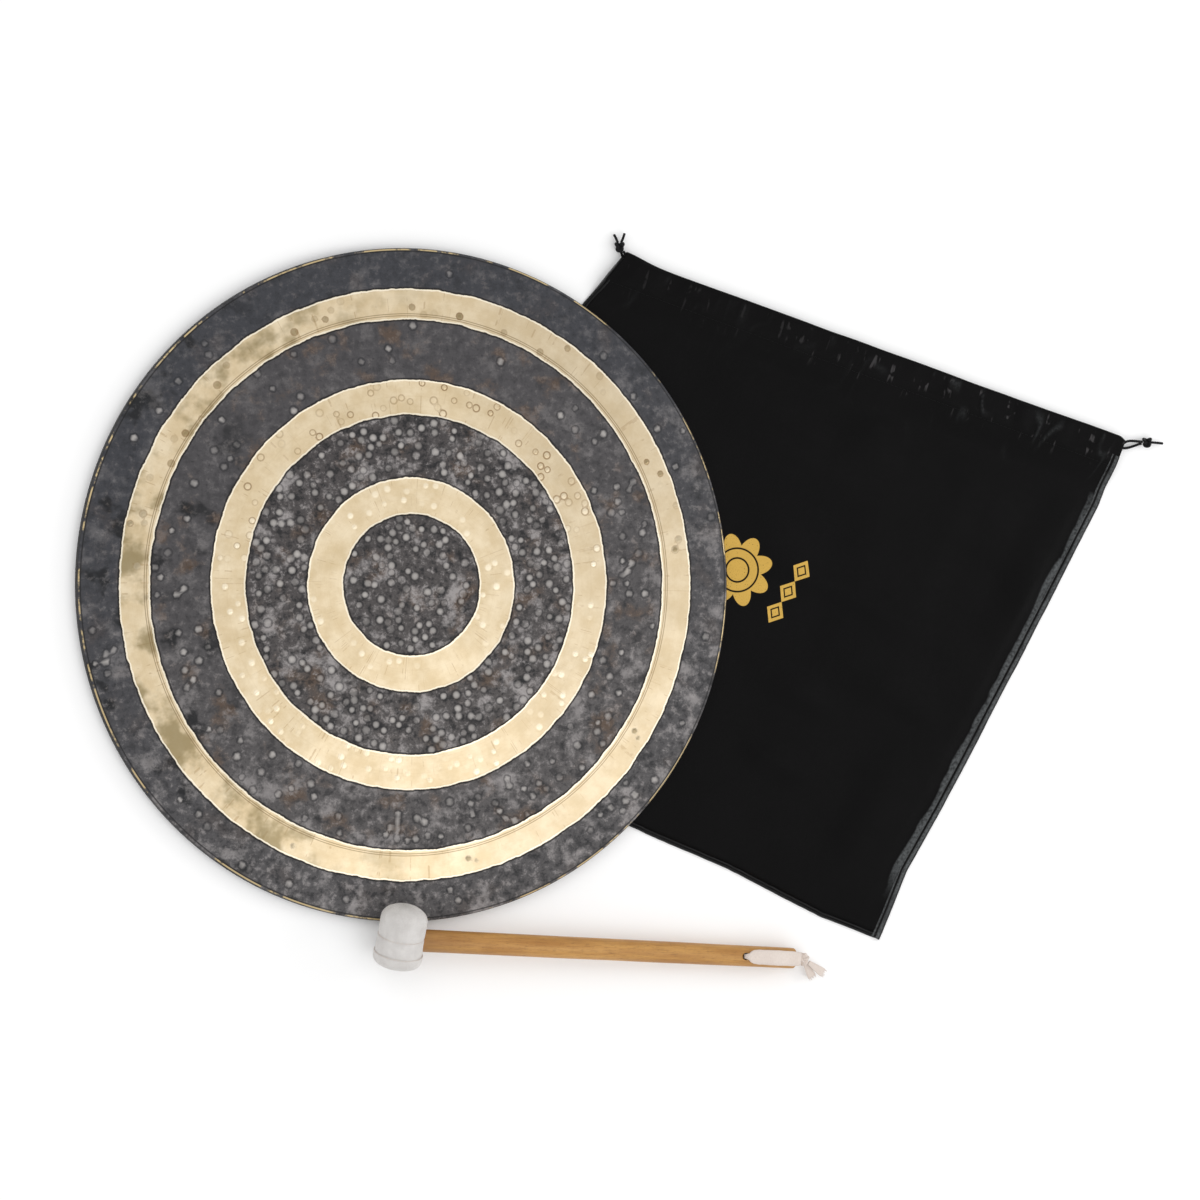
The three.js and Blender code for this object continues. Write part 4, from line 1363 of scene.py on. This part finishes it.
def seam_finish(name, groove, pale_mottle):
    """The same cloth with a black line of painted shade in the groove along the stitches, groove metres in
    from the edge. A seam whose flag is set gets ridges painted light and mottled, a painted sheen."""
    finish = weave_finish(name, BLACK_PALER, BLACK_DARK, CLOTH_PITCH, 0.00012, roughness=0.5, sheen=0.04)
    plan = finish.plan()
    _, inwards, _ = finish.parts(plan)
    cloth = finish.linked("Base_Color")
    if pale_mottle:
        # painted sheen: the ridges lighter and mottled
        on_ridges = finish.step(inwards, 0.0013, 0.0024) * finish.step(inwards, 0.0096, 0.0090)
        mottle = finish.patches(plan, 420.0, 0.32, 0.64, roughness=0.7)
        slow = finish.patches(plan, 22.0, 0.30, 0.60, 2.0)
        light = on_ridges * (0.20 + mottle * 0.75) * (0.55 + slow * 0.45)
        cloth = finish.layers(cloth, (light, BLACK_SHEEN))
    # painted shade: the groove darker
    groove_shade = finish.line(inwards, groove, 0.0014 if pale_mottle else 0.0008)
    finish.set("Base_Color", finish.layers(cloth, (groove_shade, BLACK_DARK)))
    finish.set("Specular_IOR_Level", 0.2)
    return finish


bag_cloth = bag_finish()
lining = weave_finish("black_lining_cloth", BLACK_PALER, BLACK_DARK, CLOTH_PITCH, 0.00012,
                      roughness=0.5, sheen=0.0)
black_thread = cord_finish("black_thread", shade(22, 22, 23), shade(6, 6, 7))


def hem_edge(distance, seed):
    """How far the mouth's edge strays inwards: it waves, sinks in between the corners, is pulled out to the
    left knot and rounds a little at the right."""
    from_right = MOUTH_LENGTH - distance
    pulled_out = 0.0036 * (1.0 - smooth_step(distance, 0.0, 0.050)) ** 2
    groove_shade = 0.0010 * smooth_step(distance, 0.015, 0.060) * smooth_step(from_right, 0.020, 0.110)
    rounded = 0.0026 * (1.0 - smooth_step(from_right, 0.0, 0.010)) ** 2
    return 0.0003 * wander(distance, 0.030, seed) - pulled_out + groove_shade + rounded + 0.0008


def gathers(distance, below, seed):
    """Heights of the small folds across the hem, which die out down the panel, and how sharp they are."""
    fade = np.exp(-np.maximum(below - 0.022, 0.0) / 0.020)
    pulled = 1.0 - 0.7 * smooth_step(distance, 0.04, 0.12) * (1.0 - smooth_step(distance, 0.20, 0.38))
    slant = distance + 0.3 * (below - 0.02) * wander(distance, 0.05, seed + 3)
    lines = 1.0 - np.abs(noise(slant, below * 0.25, 0.010, seed)) / 0.24
    here = smooth_step(noise(distance, below * 0.8, 0.022, seed + 5), -0.15, 0.35)
    folds = np.maximum(lines, 0.0) * pulled * here
    broad = np.maximum(noise(slant, below * 0.4, 0.019, seed + 1), 0.0)
    return (0.0011 * folds + 0.0018 * broad) * fade, folds**1.5 * fade


def edge_ridge(from_right, from_bottom):
    """The narrow uneven ridge in which the cloth stands up beside the right seam: its height, and how strongly
    a painted sheen shows on it.
    """
    along = smooth_step(from_bottom, 0.030, 0.075) * (1.0 - smooth_step(from_bottom, 0.420, 0.490))
    inner = 0.0122 + 0.0026 * wander(from_bottom, 0.045, 87) + 0.0013 * wander(from_bottom, 0.011, 88)
    swell = 0.75 + 0.45 * wander(from_bottom, 0.032, 89)
    height = 0.0030 * along * swell * np.exp(-(((from_right - inner + 0.0028) / 0.0034) ** 2))
    outside = 1.0 - smooth_step(from_right, inner - 0.0008, inner + 0.0014)
    return height, np.clip(along * (0.62 + 0.38 * swell) * outside, 0.0, 1.0)


def sag(flat):
    """The loose cloth's folds beside the gong, and flat under it."""
    x, y = flat[..., 0], flat[..., 1]
    clear = smooth_step(np.hypot(x, y), GONG_RADIUS + 0.012, GONG_RADIUS + 0.085)
    turned = x * 0.42 + y * 0.91
    run = x * 0.91 - y * 0.42
    long_folds = np.maximum(noise(run * 0.35, turned, 0.034, 71), 0.0) ** 1.5
    cross = np.maximum(noise(run, turned * 0.4, 0.050, 72), 0.0) ** 1.5
    soft = 0.5 + 0.5 * noise(x, y, 0.090, 73)
    return clear * (0.0042 * long_folds + 0.0036 * cross + 0.0022 * soft)


def cloth_rows(front):
    """(distance below the mouth, height) down one side of the bag, from the hem's tucked-in edge round the
    mouth to where the panel begins."""
    thin = CLOTH / 2
    low, high = thin, BACK_HEM_TOP - thin
    tucked, outer = high, low
    if front:
        low, high = FRONT_HEM_BOTTOM + thin, FRONT_HEM_TOP - thin
        tucked, outer = low, high
    middle = (low + high) / 2
    bend = (high - low) / 2
    turn = 1.0 if front else -1.0
    rows = [(d, tucked) for d in np.linspace(HEM_WIDTH, 0.004, TUCKED_ROWS)]
    for angle in np.radians(np.linspace(-70.0, 70.0, MOUTH_ROWS)):
        rows.append((0.0022 - bend * math.cos(angle), middle + turn * bend * math.sin(angle)))
    if not front:
        return rows + [(d, outer) for d in np.linspace(0.004, SKIRT_END, OUTER_ROWS)]
    rows += [(d, outer) for d in np.linspace(0.004, HEM_WIDTH - 0.003, OUTER_ROWS)]
    rows += [(HEM_WIDTH - 0.001, outer - 0.0005), (HEM_WIDTH + 0.001, outer - 0.0010)]
    for d in np.linspace(HEM_WIDTH + 0.004, SKIRT_END, 12):
        share = float(smooth_step(d, HEM_WIDTH - 0.004, SKIRT_END))
        rows.append((d, (outer - 0.0010) * (1.0 - share) + FRONT_PANEL_Z * share))
    return rows


def panel_width(share_down):
    return MOUTH_LENGTH + (BOTTOM_LENGTH - MOUTH_LENGTH) * share_down


def panel_end(across):
    """Where the panel's cloth ends under the bottom seam, in metres below the mouth."""
    return np.array([bag_depth(share) for share in across]) - SEAM_GAP


def column_shares(width, left, right, columns, fine_columns):
    """Shares across the bag from left to right metres inside its edges, closer together at the right."""
    coarse = np.linspace(left / width, 1.0 - FINE_SHARE, columns - fine_columns, endpoint=False)
    fine = np.linspace(1.0 - FINE_SHARE, 1.0 - right / width, fine_columns)
    return np.concatenate([coarse, fine])


def hem_row(below, height, columns, fine_columns):
    """One row of the hem: shares across, distances below the mouth and heights."""
    on_panel = float(smooth_step(below, 0.028, 0.042))
    left = CLOTH_END + (SEAM_GAP - CLOTH_END) * on_panel
    right = CLOTH_END + (RIGHT_SEAM_GAP - CLOTH_END) * on_panel
    across = column_shares(MOUTH_LENGTH, left, right, columns, fine_columns)
    return across, np.full(columns, below), np.full(columns, height)


def panel_row(share_down, height, columns, fine_columns):
    """One row of the panel, in the same terms."""
    width = panel_width(share_down)
    across = column_shares(width, SEAM_GAP, RIGHT_SEAM_GAP, columns, fine_columns)
    depths = SKIRT_END + (panel_end(across) - SKIRT_END) * share_down
    return across, depths, np.full(columns, height)


def make_cloth(front):
    """One side of the bag, hem and panel in one sheet; also gives its grid of points."""
    side = "front" if front else "back"
    # points across, those of them near the right seam, rows of points down the panel, and its height
    columns, fine_columns, depth_rows, panel_z = 90, 6, 40, CLOTH / 2
    if front:
        columns, fine_columns, depth_rows, panel_z = 330, 44, 100, FRONT_PANEL_Z
    rows = [hem_row(below, height, columns, fine_columns) for below, height in cloth_rows(front)]
    hem_rows = len(rows)
    for number in range(1, depth_rows + 1):
        rows.append(panel_row(number / depth_rows, panel_z, columns, fine_columns))
    grid, uv, painted_sheens = [], [], []
    for number, (across, depths, z) in enumerate(rows):
        distance = across * MOUTH_LENGTH
        near_mouth = 1.0 - smooth_step(depths, 0.004, 0.030)
        flat = bag_place(across, depths + hem_edge(distance, 81) * near_mouth)
        painted_sheen = np.zeros(columns)
        ends = smooth_step(distance, 0.004, 0.020) * smooth_step(MOUTH_LENGTH - distance, 0.008, 0.024)
        if front and number >= TUCKED_ROWS + MOUTH_ROWS:
            below_edge = ends * smooth_step(depths, 0.001, 0.006)
            gathered, sharp = gathers(distance, depths, 83)
            z = z + gathered * below_edge
            # painted sheen on the gathers' sharp folds
            painted_sheen = 0.20 * sharp * below_edge
        if front and number >= hem_rows:
            share_down = (number - hem_rows + 1) / depth_rows
            above_seam = smooth_step(1.0 - share_down, 0.0, 0.10)
            loose = ends * above_seam * smooth_step(depths, SKIRT_END, SKIRT_END + 0.04)
            from_right = (1.0 - across) * panel_width(share_down)
            ridge, ridge_sheen = edge_ridge(from_right, panel_end(across) - depths)
            z = z + sag(flat) * loose + ridge
            # painted sheen along the ridge beside the right seam
            painted_sheen = np.maximum(painted_sheen, 0.8 * ridge_sheen)
        grid.append(np.concatenate([flat, z[:, None]], axis=1))
        uv.append(flat)
        painted_sheens.append(painted_sheen)
    grid = np.array(grid)
    cloth = surface(f"bag_{side}_cloth", grid, np.array(uv), bag_cloth if front else lining)
    # how much painted sheen each point gets
    shown = cloth.data.attributes.new("painted_sheen", "FLOAT", "POINT")
    shown.data.foreach_set("value", np.array(painted_sheens, dtype=np.float32).ravel())
    thicken(cloth, CLOTH)
    declare(cloth, "bag", "bag_cloth", f"bag_{side}_panel", f"bag_{side}_hem")
    return cloth, grid


def seam(side, edge, first, last, width, height, seed, pale_mottle=False, climbs=False):
    """A turned and topstitched seam, from first to last metres along an edge: two soft ridges with a groove
    between. One that climbs lies over the hem's end at its start."""
    at = np.linspace(0.0, last - first, round((last - first) / SEAM_STEP))
    pucker = wander(at, 0.0052, seed)
    stray = 0.0003 * wander(at, 0.030, seed + 1) + 0.00015 * pucker
    climb = SEAM_CLIMB * climbs * (1.0 - smooth_step(at + first, 0.026, 0.056))
    groove = 0.64 if pale_mottle else 0.46
    # (share of the width in from the edge, share of the height), round the section
    section = (
        (0.0, 0.25),
        (0.06, 0.8),
        (0.18, 1.0),
        (groove - 0.12, 0.86),
        (groove - 0.04, 0.42),
        (groove + 0.04, 0.36),
        (groove + 0.12, 0.6),
        (groove + 0.22, 1.0),
        (0.90, 0.9),
        (0.96, 0.66),
        (1.0, 0.42),
        (1.0, 0.0),
        (0.5, 0.0),
        (0.06, 0.0),
    )
    grid = np.zeros((len(at), len(section), 3))
    for j, (share, rise) in enumerate(section):
        lift = 1.0 + (0.28 * pucker if rise > 0.5 else 0.0)
        grid[:, j, :2] = edge.place(first + at, width * share + stray * (1.0 - share))
        grid[:, j, 2] = height * rise * lift + (climb if rise > 0.0 else 0.0)
    uv = pairs(at, [width * share for share, _ in section] + [0.0])
    name = f"bag_{side}_edge"
    cloth = seam_finish(f"{name}_cloth", width * groove, pale_mottle)
    obj = surface(name, grid, uv, cloth, wrap=True, caps=True)
    declare(obj, "bag", "bag_cloth", f"bag_{side}_seam")
    return obj


def stitch_row(mesh, path, stitch=0.0032, gap=0.0012, radius=0.00022):
    """Lays stitches along a line of points, each a short thread whose ends dip into the cloth."""
    at = lengths_along(path)
    start = 0.001
    while start + stitch < at[-1]:
        places = np.linspace(start, start + stitch, 5)
        line = np.stack([np.interp(places, at, path[:, k]) for k in range(3)], axis=1)
        line[:, 2] += np.sin(np.linspace(0.0, math.pi, 5)) * 0.0003 - 0.0001
        mesh.add_tube(line, radius, radius, sides=6)
        start += stitch + gap


def make_stitches(hem_line):
    """One row along the hem and one along each seam."""
    stitches = Mesh()
    stitch_row(stitches, hem_line + np.array([0.0, 0.0, CLOTH / 2]))
    for edge, first, last, inwards, height in (
        (LEFT_EDGE, 0.033, LEFT_EDGE.length, 0.0023, SEAM_HEIGHT),
        (RIGHT_EDGE, 0.033, RIGHT_EDGE.length, 0.0058, RIGHT_SEAM_HEIGHT),
        (BOTTOM_EDGE, 0.010, BOTTOM_EDGE.length - 0.012, 0.0023, SEAM_HEIGHT),
    ):
        flat = edge.place(np.linspace(first, last, 200), np.full(200, inwards))
        stitch_row(stitches, np.concatenate([flat, np.full((200, 1), height * STITCH_SHARE)], axis=1))
    thread = stitches.make("bag_stitching", black_thread)
    declare(thread, "bag", "bag_cloth")
    return thread


def make_bag():
    front, grid = make_cloth(True)
    back, _ = make_cloth(False)
    seams = [
        seam("left", LEFT_EDGE, 0.012, LEFT_EDGE.length, 0.005, SEAM_HEIGHT, 91, climbs=True),
        seam("right", RIGHT_EDGE, 0.021, RIGHT_EDGE.length, 0.009, RIGHT_SEAM_HEIGHT, 93,
             pale_mottle=True, climbs=True),
        seam("bottom", BOTTOM_EDGE, 0.006, BOTTOM_EDGE.length - 0.005, 0.005, SEAM_HEIGHT, 95),
    ]
    thread = make_stitches(grid[STITCHED_ROW])

    corners = (MOUTH_LEFT, MOUTH_RIGHT, BOTTOM_RIGHT, BOTTOM_LEFT)
    twice = sum(a[0] * b[1] - a[1] * b[0] for a, b in zip(corners, corners[1:] + corners[:1]))
    area = abs(twice) / 2 + MOUTH_LENGTH * HEM_WIDTH
    flat_size = (BOTTOM_LENGTH, bag_depth(0.5) + HEM_WIDTH)


make_bag()

# ---------------------------------------------------------------- floor and light


def soft_light(name, place, target, size, power):
    data = bpy.data.lights.new(name, "AREA")
    data.shape = "DISK"
    data.size = size
    data.energy = power
    light = add_object(name, data)
    light.location = place
    light.rotation_euler = (Vector(target) - Vector(place)).to_track_quat("-Z", "Y").to_euler()


def make_floor():
    side = 8.0
    lines = np.linspace(-side, side, 17)
    flat = pairs(lines, lines)
    grid = np.concatenate([flat, np.full_like(flat[..., :1], -0.0003)], axis=-1)
    finish = Finish("pale_floor", Roughness=0.9)
    cloud = finish.noise(finish.plan(), 3.0, 3.0)
    finish.set("Base_Color", finish.layers(shade(254, 254, 254), (cloud, shade(255, 255, 255))))
    floor = surface("floor", grid, flat, finish)


def make_world():
    world = bpy.data.worlds.new("studio")
    world.use_nodes = True
    background = world.node_tree.nodes["Background"]
    background.inputs["Color"].default_value = (1.0, 1.0, 1.0, 1.0)
    background.inputs["Strength"].default_value = 0.86
    bpy.context.scene.world = world


make_floor()
make_world()
soft_light("key", (2.2, -1.9, 4.2), target=(0.15, 0.0, 0.0), size=3.8, power=40.0)
soft_light("fill", (-2.2, 2.0, 3.6), target=(0.15, 0.0, 0.0), size=3.0, power=14.0)
soft_light("edge", (1.9, 0.1, 0.9), target=(0.5, -0.05, 0.0), size=0.6, power=4.5)
bpy.context.scene.view_settings.view_transform = "Standard"
